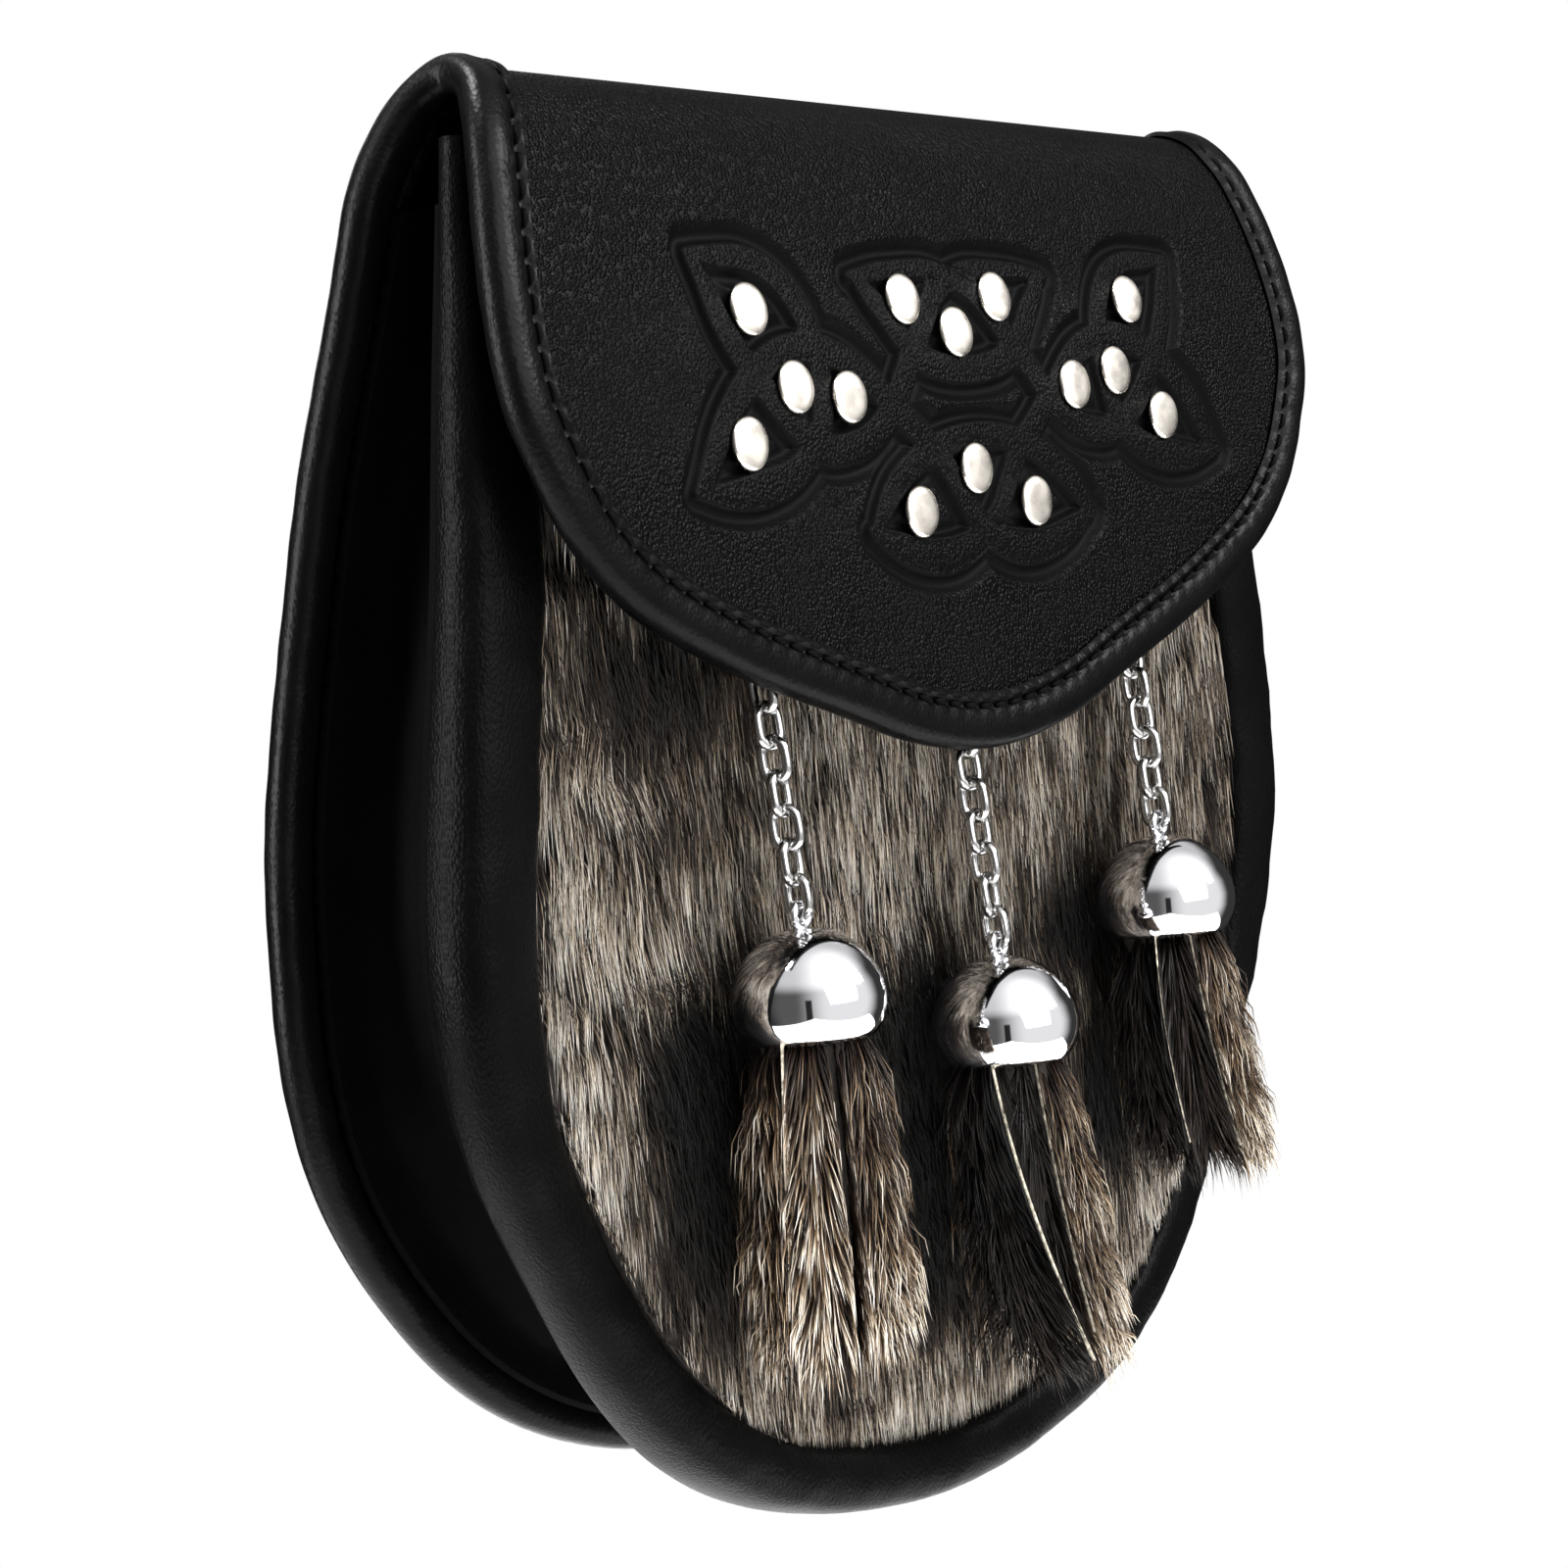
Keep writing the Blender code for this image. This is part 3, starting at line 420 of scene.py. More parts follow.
def drooped(across, height):
    ease = smoothStep(sheetShape["droopFrom"], sheetShape["droopTo"], height)
    return height - sheetShape["droop"] * across / 100.0 * ease


def onSheet(run, across, lift=0.0):
    # a point by its run up the back and over the arch, and its lift off the outer face
    depth, height = readAt(run, sheetRun, sheetCurve[:, :2])
    wayY, wayZ = readAt(run, sheetRun, sheetWay)
    length = np.hypot(wayY, wayZ)
    depth = depth + lift * wayZ / length
    height = height - lift * wayY / length
    return at(across, depth, drooped(across, height))


def liftedWay(run, across, lift=0.0):
    # the unit way out of the outer face
    return unit(onSheet(run, across, lift + 1.0) - onSheet(run, across, lift))


def sheetOutline(steps):
    # the finished edge as (run, across), once round from the bottom of the back, with its inward ways
    flat = np.stack([sheetRun, sheetCurve[:, 2]], axis=1)
    places = sheetCurve[:, [2, 0, 1]]
    half = evenly(flat, steps // 2 + 1, places, sheetShape["turnWeight"])
    line = np.concatenate([half, (half * (1, -1))[-2:0:-1]])
    lapped = np.concatenate([line[-2:], line, line[:2]])
    return line, toRight(lapped)[2:-2]


def runAt(height):
    # run of a level of the flap's front
    front = sheetRun > archRun
    return np.interp(-height, -sheetCurve[front, 1], sheetRun[front])


knot = {
    "middle": 2.5,              # how far right of the pouch's middle it sits
    "depth": 1.35,
    "wall": 1.25,               # from a strap's edge to the groove's floor
    "floor": 1.7,               # and to where the floor ends
    "rim": 4.0,                 # and to where the leather is level again
    "crown": 0.12,              # how much lower a strap's edges are than its middle
    "crownReach": (-1.8, -0.2),
    "lineDepth": 0.35,          # the pressed line that shows which strap lies over the other
    "lineHalf": 0.7,
    "tuckDepth": 0.15,          # how far a strap dips where it goes under another
    "tuckReach": 1.3,
    "smoothed": 0.9,            # how far the stamp takes the grain out of the grooves, and out of the straps
    "smoothedStraps": 0.25,
    "smoothedReach": (2.4, 4.3),
    # each strap by its middle line on the left: across, height, half width
    "straps": {
        "arc": [(-66.8, 22, .5), (-60, 21.6, 1.4), (-53, 21.2, 1.7), (-46.5, 18.6, 2), (-42, 13.5, 2.2),
                (-40, 7, 2.2), (-40.3, 0, 2.1), (-42.5, -6.5, 2.1), (-49, -11.3, 2.3), (-58, -13.5, 2.6),
                (-66, -14, 1.8), (-73.5, -13.3, .5)],
        "rising": [(-66.8, 22, .5), (-64.2, 17.5, 1.6), (-62, 12, 2.1), (-58.5, 6.5, 2.2), (-53.9, 1.1, 2.2),
                   (-46.9, -5.2, 2.2), (-40, -8.3, 2.2), (-33.3, -8, 2.2), (-28.7, -6.6, 2.2),
                   (-24, -3.7, 2.2), (-21.5, -1.5, 2.2), (-17.5, 3.2, 2.2), (-13, 8, 2.2), (-9, 12.5, 2.1),
                   (-4.5, 16.5, 2), (0, 18.2, 1.7), (6, 19.7, 1.5), (13, 19.8, 1.3), (20, 19.5, 1.1),
                   (27.5, 18.7, .5)],
        "falling": [(-73.5, -13.3, .5), (-70.3, -10, 1.6), (-67, -5.2, 2.1), (-63, -.8, 2.2),
                    (-57.5, 3.4, 2.2), (-52, 6.2, 2.2), (-48, 7.4, 2.2), (-42, 7.8, 2.2), (-36.5, 6.9, 2.2),
                    (-32, 5.2, 2.2), (-27.5, 2.2, 2.2), (-24, -.8, 2.2), (-21.5, -2.6, 2.2), (-17, -6, 2.1),
                    (-12.5, -9.3, 2), (-9.5, -12.5, 1.9), (-6.5, -16.5, 1.9), (-3, -21, 2), (1.5, -24.2, 2.2),
                    (9, -26.4, 2.7), (17, -26.4, 2.6), (25, -24.3, 2), (31.5, -21.5, .5)],
    },
    "bows": {
        "lower": [(-31, -22.3, .5), (-28, -18.6, 1.6), (-24.5, -15, 2), (-19.5, -12, 2.1), (-13.5, -9.6, 2),
                  (-7, -8.1, 1.9), (0, -7.6, 1.9)],
        "upper": [(-26.7, 18.8, .5), (-23.6, 15.8, 1.6), (-20.5, 12.8, 2), (-17.3, 9.1, 2.1), (-14, 6.1, 2.1),
                  (-9.5, 4.3, 2.1), (-4.5, 3.4, 2), (0, 3.2, 2)],
    },
    # where two straps of one kind meet in the middle: across, height, the one above, the one below
    "meetings": [(0.0, -23.3, ("falling", -1), ("falling", 1)), (0.0, 18.2, ("rising", 1), ("rising", -1))],
    "meetingReach": 6.5,
}


def strapDistances(across, height):
    # from places of the flap's face to the edge of each strap, less than 0 inside it
    spots = np.stack([across - knot["middle"], height], axis=1)
    straps = {}
    for name, rows in knot["straps"].items():
        line = through(rows, 12)
        straps[name, -1] = line
        straps[name, 1] = line * (-1, 1, 1)
    for name, rows in knot["bows"].items():
        line = through(rows + [(-x, z, w) for x, z, w in rows[-2::-1]], 12)
        straps[name, -1] = straps[name, 1] = line

    def edgeDistance(line):
        way = spots[:, None, :] - line[None, :, :2]
        return (np.hypot(way[..., 0], way[..., 1]) - line[None, :, 2]).min(axis=1)

    far = {key: edgeDistance(line) for key, line in straps.items()}
    return spots, far, np.min(list(far.values()), axis=0)


def embossing(across, height):
    # height of the pressed relief and how far the grain is pressed flat, at places of the flap's face
    spots, far, nearest = strapDistances(across, height)
    inStrap = nearest < 0.0
    groove = smoothStep(0.0, knot["wall"], nearest) * (1.0 - smoothStep(knot["floor"], knot["rim"], nearest))
    relief = -knot["depth"] * groove - knot["crown"] * smoothStep(*knot["crownReach"], nearest) * inStrap
    for x, z, over, under in knot["meetings"]:
        close = np.hypot(spots[:, 0] - x, spots[:, 1] - z) < knot["meetingReach"]
        line = np.clip(1.0 - np.abs(far[over] - 0.1) / knot["lineHalf"], 0.0, 1.0)
        line = line * close * (far[under] < 0.2) * (nearest < 0.2)
        beside = close * (far[under] < 0.0) * (far[over] > 0.0)
        tucked = np.exp(-np.maximum(far[over], 0.0) / knot["tuckReach"]) * beside
        relief -= knot["lineDepth"] * line + knot["tuckDepth"] * tucked
    pressed = smoothStep(-0.4, 0.5, nearest) * (1.0 - smoothStep(*knot["smoothedReach"], nearest))
    return relief, np.clip(knot["smoothed"] * pressed + knot["smoothedStraps"] * inStrap, 0.0, 1.0)


def makeLeatherSheet():
    steps = sheetShape["outlineSteps"]
    line, inner = sheetOutline(steps)
    half = (line + inner * sheetShape["inset"])[:steps // 2 + 1]
    share = np.linspace(-0.5, 0.5, len(half)) * sheetShape["polesOpen"]
    reach, low, high = sheetShape["fineWindow"]
    bm = slab(sheetShape["columns"], sheetShape["rowsAlong"])

    def flat(x, y):
        run, side = readAt(y, share, half)
        return run, 2.0 * x * side, np.interp(run, sheetRun, sheetCurve[:, 1])

    def inWindow(face):
        middle = face.calc_center_median()
        run, across, height = flat(middle.x, middle.y)
        onFlap = middle.z > -0.01 and run > archRun
        return onFlap and abs(across - knot["middle"]) < reach and low < height < high

    def cutUp(faces, cuts):
        edges = [edge for edge in bm.edges if faces.intersection(edge.link_faces)]
        bmesh.ops.subdivide_edges(bm, edges=edges, cuts=cuts, use_grid_fill=True)

    cutUp({face for face in bm.faces if inWindow(face)}, sheetShape["fineCuts"][0])
    faces = [face for face in bm.faces if inWindow(face)]
    middles = np.array([face.calc_center_median() for face in faces])
    run, across, height = flat(*middles[:, :2].T)
    nearest = strapDistances(across, height)[2]
    closest, furthest = sheetShape["fineReach"]
    cutUp({face for face, far in zip(faces, nearest) if closest < far < furthest}, sheetShape["fineCuts"][1])
    pressed = np.zeros(len(bm.verts), np.float32)

    def place(x, y, z):
        run, across, height = flat(x, y)
        outer = z > -0.5
        face = (z > -0.01) & (run > archRun) & (height < high + 3.0)
        pressed[~outer] = 1.0           # the lining side is smooth
        relief, pressed[face] = embossing(across[face], height[face])
        lift = np.where(outer, 0.0, -sheetShape["thickness"])
        lift[face] += relief
        return onSheet(run, across, lift)

    remap(bm, place)
    piece = addPiece("leather_sheet", bm, grainLeather, ["back_flap_panel"], sharp=70.0)
    piece.data.attributes.new("pressed", "FLOAT", "POINT").data.foreach_set("value", pressed)


# The bound edge and its stitches

binding = {
    # inset from the outer edge and lift from the sheet's middle, round the front half of the section
    "section": [(9.5, 1.5), (9.45, 2.3), (8.9, 2.75), (7.9, 2.85), (6.4, 2.85), (4.6, 3.0), (2.6, 3.0),
                (0.9, 2.35), (0.15, 1.0)],
    "slot": [(9.2, 1.42), (8.0, 1.75), (1.7, 1.75)],        # the same for its inner side, on the leather
    "outside": 2.05,            # the section's points with more lift than this are on its outer side
    "face": 2.85,               # lift of the outer side at the stitches
    "around": 36,
    # how closely the section's points lie: everywhere, more at the stitches, their reach, more at the roll
    "closeness": (0.35, 3.0, 1.3, 0.8),
    "roll": 3.5,                # where the roll over the cut edge ends, from the outer edge
    "stitchPitch": 4.2,
    "stitchInset": 7.2,
    "stitchGroove": 0.85,
    "grooveShares": (0.6, 0.7),             # of that depth: between the holes, and more at each hole
    "grooveReach": 0.85,
    "dip": 0.12,                # the leather pulled down beside the groove
    "dipReach": 2.0,
    "lump": 0.14,
    "lumpSize": 9.0,
    "perStitch": 6,
    "threadLength": 3.2,
    "threadWidth": 1.15,
    "threadSag": 0.35,
    "threadSides": 6,
    "trackSteps": 2400,
}


def edgeTrack():
    # (run, across, way in) round the sheet at even steps along the line of the stitches
    rows = closed(np.concatenate(sheetOutline(binding["trackSteps"]), axis=1))
    places = onSheet(*(rows[:, :2] + rows[:, 2:] * binding["stitchInset"]).T) / mm
    count = round(np.linalg.norm(np.diff(places, axis=0), axis=1).sum() / binding["stitchPitch"])
    return evenly(rows, 2 * binding["trackSteps"] + 1, places), count


track, stitchCount = edgeTrack()


def onEdge(share, inset, lift):
    # a point of the bound edge: share of the way round, inset from the outer edge, lift from mid sheet
    run, across, wayRun, wayAcross = along(track, share % 1.0)
    return onSheet(run + wayRun * inset, across + wayAcross * inset, lift - sheetShape["thickness"] / 2)


def makeBinding():
    front, inner = np.array(binding["section"]), np.array(binding["slot"])
    section = np.concatenate([front, (front * (1, -1))[::-1], inner * (1, -1), inner[::-1]])
    section = closed(rounded(section))
    section = evenly(section, 1201, section)
    everywhere, atStitch, reach, atRoll = binding["closeness"]
    outer = np.abs(section[:, 1]) > binding["outside"]
    dense = everywhere + atStitch * outer * np.exp(-((section[:, 0] - binding["stitchInset"]) / reach) ** 2)
    dense += atRoll * (section[:, 0] < binding["roll"])
    share = np.concatenate([[0.0], np.cumsum(dense[1:])])
    share /= share[-1]

    def place(x, y):
        inset, lift = readAt(x, share, section)
        outer = np.abs(lift) > binding["outside"]
        hole = (0.5 + 0.5 * np.cos(y * stitchCount * 2.0 * pi)) ** 2        # 1 at each hole
        near, wide = (np.exp(-((inset - binding["stitchInset"]) / binding[key]) ** 2)
                      for key in ("grooveReach", "dipReach"))
        between, atHole = binding["grooveShares"]
        sink = binding["stitchGroove"] * near * (between + atHole * hole) + binding["dip"] * wide
        lift = lift - np.sign(lift) * sink * outer
        lumps = softNoise(onEdge(y, inset, lift) / mm, binding["lumpSize"], 3) * binding["lump"]
        return onEdge(y, inset, lift * (1.0 + lumps * outer * (inset < 6.0) / 3.0))

    bm = sweep(binding["around"], stitchCount * binding["perStitch"], place)
    addPiece("leather_binding", bm, bindingLeather, ["edge_binding"], sharp=60.0)


def addStitches(name, starts, ends, lifts):
    # threads from hole to hole: lifts are the unit ways out of the leather
    bm = bmesh.new()
    sides = binding["threadSides"]
    bmesh.ops.create_uvsphere(bm, u_segments=sides, v_segments=sides, radius=1.0)
    bmesh.ops.rotate(bm, verts=bm.verts, cent=(0, 0, 0), matrix=Matrix.Rotation(radians(90), 3, "Y"))
    shape = np.array([vert.co for vert in bm.verts])
    lengthwise = ends - starts
    side = np.cross(lifts, unit(lengthwise))
    width = binding["threadWidth"] * mm / 2.0
    sink = (1.0 - shape[:, 0] ** 2) * 0.5 - binding["threadSag"]
    placed = ((starts + ends)[:, None] / 2.0 + lengthwise[:, None] * shape[None, :, :1] * 0.5
              + side[:, None] * shape[None, :, 1:2] * width
              + lifts[:, None] * (shape[None, :, 2] * width + sink[None] * width)[..., None])
    addCopies(name, bm, placed, threadBlack)


def makeEdgeStitches():
    middle = (np.arange(stitchCount) + 0.5) / stitchCount
    reach = 0.5 * binding["threadLength"] / binding["stitchPitch"] / stitchCount
    inset = binding["stitchInset"]
    for name, side in (("front_stitches", 1.0), ("back_stitches", -1.0)):
        lift = side * (binding["face"] - binding["stitchGroove"] * binding["grooveShares"][0])
        starts, ends = (onEdge(middle + way * reach, inset, lift) for way in (-1, 1))
        out = onEdge(middle, inset, lift + side) - onEdge(middle, inset, lift)
        addStitches(name, starts, ends, unit(out))


makeLeatherSheet()
print("leather sheet made")
makeBinding()
makeEdgeStitches()
print("bound edge made,", stitchCount, "stitches on each face")


# The padded rim, the gusset and the belt loop

rim = {
    # height, half width, depth of its face, width of its face: from the top of the left side down
    "rows": [
        (37.5, 102.2, 12.8, 16.5), (32.0, 102.7, 12.7, 16.5), (4.0, 105.6, 12.4, 16.5),
        (-23.5, 108.0, 12.6, 16.5), (-50.0, 111.4, 13.4, 16.0), (-80.0, 113.4, 15.2, 15.5),
        (-107.0, 107.4, 17.8, 13.5), (-130.0, 95.0, 19.8, 12.0), (-150.0, 81.8, 19.6, 11.5),
        (-165.0, 66.5, 19.0, 11.5), (-177.0, 44.0, 18.6, 11.5), (-184.3, 0.0, 18.6, 12.0),
    ],
    # share of the face's width from the outer edge, share of the thickness
    "section": [(0.02, 0.84), (0.0, 0.6), (0.02, 0.36), (0.09, 0.15), (0.22, 0.03), (0.42, -0.02),
                (0.74, 0.0), (0.93, 0.08), (1.0, 0.34), (1.0, 1.0), (0.5, 1.0), (0.06, 1.0)],
    "usual": (14.0, 8.0),       # width and thickness that space the section's points
    "sectionTurnWeight": 4.0,
    "panelTop": 18.5,           # depth of the front panel's face at its top
    "panelLevel": 32.0,
    "panelSlope": 0.07,
    "seat": 0.05,               # how far the rim and the gusset press into the front panel
    "lumps": [(0.25, 14.0, 5), (0.12, 4.0, 6)],         # how high, how wide, seed
    "turnWeight": 20.0,
    "lengthwise": 260,
    "around": 30,
}
rimCurve = through(rim["rows"], mirrored=1)


def panelDepth(height):
    return rim["panelTop"] + rim["panelSlope"] * (rim["panelLevel"] - height)


def rimLine(count, top):
    height, halfWidth, depth, width = rimCurve[rimCurve[:, 0] <= top].T
    right = np.stack([halfWidth, height, depth, width], axis=1)
    full = np.concatenate([right * (-1, 1, 1, 1), right[-2::-1]])
    line = evenly(full, count, full[:, :3], rim["turnWeight"])
    return np.concatenate([line, -toRight(line[:, :2])], axis=1)


def makeRim():
    line = rimLine(801, rim["rows"][0][0])
    section = closed(rounded(rim["section"]))
    section = evenly(section, rim["around"] + 1, section * rim["usual"], rim["sectionTurnWeight"])

    def place(x, y):
        across, height, face, width, wayX, wayZ = along(line, y)
        shareIn, shareBack = along(section, x)
        px, pz = across + wayX * shareIn * width, height + wayZ * shareIn * width
        pz = drooped(px, pz)
        back = panelDepth(pz) + rim["seat"]
        spot = np.stack([px, pz, shareBack * 9.0], axis=1)
        lumps = sum(high * softNoise(spot, wide, seed) for high, wide, seed in rim["lumps"])
        return at(px, face + (back - face) * shareBack + lumps * (shareBack < 0.6), pz)

    bm = sweep(rim["around"], rim["lengthwise"], place)
    piece = addPiece("padded_rim", bm, rimLeather, ["front_frame"], sharp=60.0)


gusset = {
    "inset": 12.6,              # from the rim's and the sheet's edges to its wall, and to its folded edges
    "edge": 5.0,
    "top": 33.0,                # level of its ends
    "sag": 1.4,
    "sideSag": 0.7,             # share of the sag a quarter of the way in
    "thickness": 1.8,
    "panel": 2.2,               # the front panel's thickness
    "backLip": -4.6,            # from the sheet's outer face to the gusset's back edge
    "creases": 0.5,
    "lengthwise": 150,
}


def makeGusset():
    front = rimLine(601, gusset["top"])
    line, inner = sheetOutline(sheetShape["outlineSteps"])
    limit = at(0.0, 0.0, gusset["top"])[2]
    arch = np.argmax(onSheet(line[:, 0], 0.0)[:, 2] > limit)
    right = np.concatenate([line[:arch], inner[:arch]], axis=1)
    full = np.concatenate([(right * (1, -1, 1, -1))[:0:-1], right])
    back = evenly(full, 601, onSheet(*full[:, :2].T) / mm, rim["turnWeight"])

    def atFront(y, inset, rise=0.0):
        across, height, _, _, wayX, wayZ = along(front, y)
        px, pz = across + wayX * inset, height + wayZ * inset
        pz = drooped(px, pz)
        return at(px, panelDepth(pz) + gusset["panel"] - rim["seat"] + rise, pz)

    def atBack(y, inset, rise=0.0):
        run, across, wayRun, wayAcross = along(back, y)
        return onSheet(run + wayRun * inset, across + wayAcross * inset, gusset["backLip"] - rise)

    def between(y, inset, share):
        return atFront(y, inset) * (1.0 - share) + atBack(y, inset) * share

    def place(x, y):
        wall, fold, sag, edge = (gusset[key] for key in ("inset", "thickness", "sag", "edge"))
        inside, sideSag = wall + fold, sag * gusset["sideSag"]
        waves = np.sin(y * 230.0 + 3.0 * np.sin(y * 37.0)) + np.sin(y * 131.0 + 1.3)
        crease = gusset["creases"] * waves / 2.0
        ring = np.stack([
            atFront(y, edge), atFront(y, edge, fold), atFront(y, wall, fold),
            between(y, wall + sideSag + crease, 0.25), between(y, wall + sag, 0.5),
            between(y, wall + sideSag - crease, 0.75),
            atBack(y, wall, fold), atBack(y, edge, fold), atBack(y, edge), atBack(y, inside),
            between(y, inside + sag, 0.5), atFront(y, inside), atFront(y, edge)])
        return ring[np.round(x * 12).astype(int), np.arange(len(x))]

    bm = sweep(12, gusset["lengthwise"], place)
    piece = addPiece("soft_gusset", bm, gussetLeather, ["gusset"], sharp=80.0)
    smooth = piece.modifiers.new("Rounded", "SUBSURF")
    smooth.levels = smooth.render_levels = 1


beltLoop = {
    "width": 64.0,
    "thickness": 2.6,
    "rise": 6.9,                # of the tunnel for the strap, over the back
    "reach": 20.0,              # from its middle to a foot, and the foot's length
    "foot": 11.0,
    "gap": 0.3,
    "lengthwise": 20,
    "rounding": 0.7,
    "stitchRows": (2.6, 8.2),   # from the end of a foot
    "stitchLift": 0.05,
}


def makeBeltLoop():
    backPart = slice(0, int(np.argmax(sheetCurve[:, 1])))
    middle = np.interp(loopHeight, sheetCurve[backPart, 1], sheetRun[backPart])
    reach, rise, gap, thickness = (beltLoop[key] for key in ("reach", "rise", "gap", "thickness"))
    end = reach + beltLoop["foot"]
    bends = [(-end, gap), (-reach, gap), (-reach + 4.5, rise - 0.8), (-reach + 7.0, rise), (0.0, rise + 0.1)]
    half = through(bends, 5)
    inner = np.concatenate([half, (half * (-1, 1))[-2::-1]])
    section = closed(np.concatenate([inner, (inner + (0.0, thickness))[::-1]]))
    count = len(section) - 1

    def place(x, y):
        run, lift = section[np.round(x * count).astype(int)].T
        return onSheet(middle + run, (y - 0.5) * beltLoop["width"], lift)

    bm = sweep(count, beltLoop["lengthwise"], place)
    edges = [edge for edge in bm.edges if edge.is_manifold and edge.calc_face_angle() > radians(50)]
    bmesh.ops.bevel(bm, geom=edges, offset=beltLoop["rounding"] * mm, segments=3, profile=0.5, affect="EDGES",
                    material=-1)
    addPiece("belt_loop_strap", bm, bindingLeather, ["belt_loop"], sharp=50.0)

    side = beltLoop["width"] / 2
    across = np.arange(5.0 - side, side - 4.0, binding["stitchPitch"])
    runs = [middle + way * (end - row) for row in beltLoop["stitchRows"] for way in (-1.0, 1.0)]
    runs, across = np.repeat(runs, len(across)), np.tile(across, len(runs))
    lift = gap + thickness + beltLoop["stitchLift"]
    starts, ends = (onSheet(runs, across + step, lift) for step in (0.0, binding["threadLength"]))
    addStitches("loop_stitches", starts, ends, liftedWay(runs, across, lift))


makeRim()
makeGusset()
makeBeltLoop()
print("rim, gusset and belt loop made")


# Studs, chains and bells

stud = {
    "radius": 4.2,
    "height": 1.0,
    "places": [(52.9, 13.9), (45.0, 1.7), (31.8, -0.3), (58.2, -6.5), (12.9, 14.9), (16.3, -19.2), (0.0, 9.3),
               (0.0, -13.0)],
    # share of the radius, share of the height
    "profile": [(0.0, 1.0), (0.4, 0.99), (0.66, 0.96), (0.82, 0.9), (0.92, 0.76), (0.98, 0.5), (1.0, 0.2),
                (0.985, 0.0), (0.0, 0.0)],
    "steps": 32,
}


def turned(profile, steps):
    # a solid of revolution about Z from (radius, height) rows that start and end on it
    bm = bmesh.new()
    verts = [bm.verts.new((radius * mm, 0.0, height * mm)) for radius, height in profile]
    edges = [bm.edges.new(pair) for pair in zip(verts, verts[1:])]
    bmesh.ops.spin(bm, geom=verts + edges, cent=(0, 0, 0), axis=(0, 0, 1), angle=2.0 * pi, steps=steps,
                   use_merge=True)
    bmesh.ops.remove_doubles(bm, verts=bm.verts, dist=1e-6)
    return bm


def makeStuds():
    places = sorted((side * x, z) for x, z in stud["places"] for side in ((-1, 1) if x else (1,)))
    for number, (across, height) in enumerate(places, start=1):
        run = runAt(height)
        bm = turned([(r * stud["radius"], h * stud["height"]) for r, h in stud["profile"]], stud["steps"])
        turn = Vector(liftedWay(run, 0.0, 0.1)).to_track_quat("Z", "Y").to_matrix().to_4x4()
        turn.translation = (across * mm, onSheet(run, 0.0, 0.1)[1], at(0.0, 0.0, height)[2])
        bmesh.ops.transform(bm, matrix=turn, verts=bm.verts)
        addPiece(f"stud_dome_{number:02d}", bm, nickel, [f"stud_{number:02d}"], sharp=50.0)


chain = {
    "length": 8.05, "width": 6.0, "wire": 1.65,         # of a link
    "pitch": 5.34,
    "links": 9,
    "topDepth": 9.0,            # where it hangs under the flap
    "play": 0.35,               # between its last link and the bell's loop
    "twist": 14.0,
    "around": 10,
    "lengthwise": 36,
}
bell = {
    "radius": 12.3,
    "height": 17.0,
    "wall": 0.9,
    "depth": 4.4,
    "loop": 5.2,
    "loopRise": 1.9,
    # share of the radius, share of the height down
    "profile": [(0.0, 0.0), (0.2, 0.012), (0.38, 0.045), (0.56, 0.115), (0.72, 0.21), (0.86, 0.34),
                (0.96, 0.48), (1.0, 0.62), (0.995, 0.74), (0.95, 0.86), (0.88, 0.95), (0.82, 1.0)],
    "steps": 64,
}
# name, across, bell's top, tassel length, shift to the right at its tip, half width
drops = [("left", -51.6, -81.0, 51.0, -1.0, 14.5), ("middle", 0.0, -93.2, 53.0, 7.0, 14.0),
         ("right", 51.6, -79.4, 43.0, 7.0, 14.0)]
rightwards, upwards = np.array([1.0, 0.0, 0.0]), np.array([0.0, 0.0, 1.0])


def addLink(bm, centre, way, side, length, width):
    # an oval wire ring in the plane of way and side
    normal = np.cross(way, side)
    wire = chain["wire"]
    radius, straight = (width - wire) / 2, (length - width) / 2

    def place(x, y):
        turn, roll = y * 2.0 * pi, x * 2.0 * pi
        shift = straight * np.tanh(np.cos(turn) * 6.0)
        out = way * np.cos(turn)[:, None] + side * np.sin(turn)[:, None]
        middle = out * radius + way * shift[:, None]
        across = out * np.cos(roll)[:, None] + normal * np.sin(roll)[:, None]
        return centre + (middle + across * wire / 2) * mm

    moveInto(bm, sweep(chain["around"], chain["lengthwise"], place))


def makeChains():
    links, pitch, wire = chain["links"], chain["pitch"], chain["wire"]
    taut = (links - 1) * pitch + chain["length"] - wire
    rise = (taut ** 2 - (bell["depth"] - chain["topDepth"]) ** 2) ** 0.5
    for name, across, top, *_ in drops:
        loopEnd = top + bell["loopRise"] + (bell["loop"] - wire) / 2 - wire - chain["play"]
        low = at(across, bell["depth"], loopEnd)
        high = at(across, chain["topDepth"], loopEnd + rise)
        way = unit(high - low)
        facing = np.cross(way, rightwards)
        bm = bmesh.new()
        for i in range(links):
            centre = (high + low) / 2 + way * ((links - 1) / 2 - i) * pitch * mm
            twist = radians(rng.uniform(-chain["twist"], chain["twist"]))
            one, two = (rightwards, facing) if i % 2 else (facing, rightwards)
            addLink(bm, centre, way, one * cos(twist) + two * sin(twist), chain["length"], chain["width"])
        addPiece(f"chain_links_{name}", bm, chainSteel, [f"chain_{name}"], sharp=80.0)


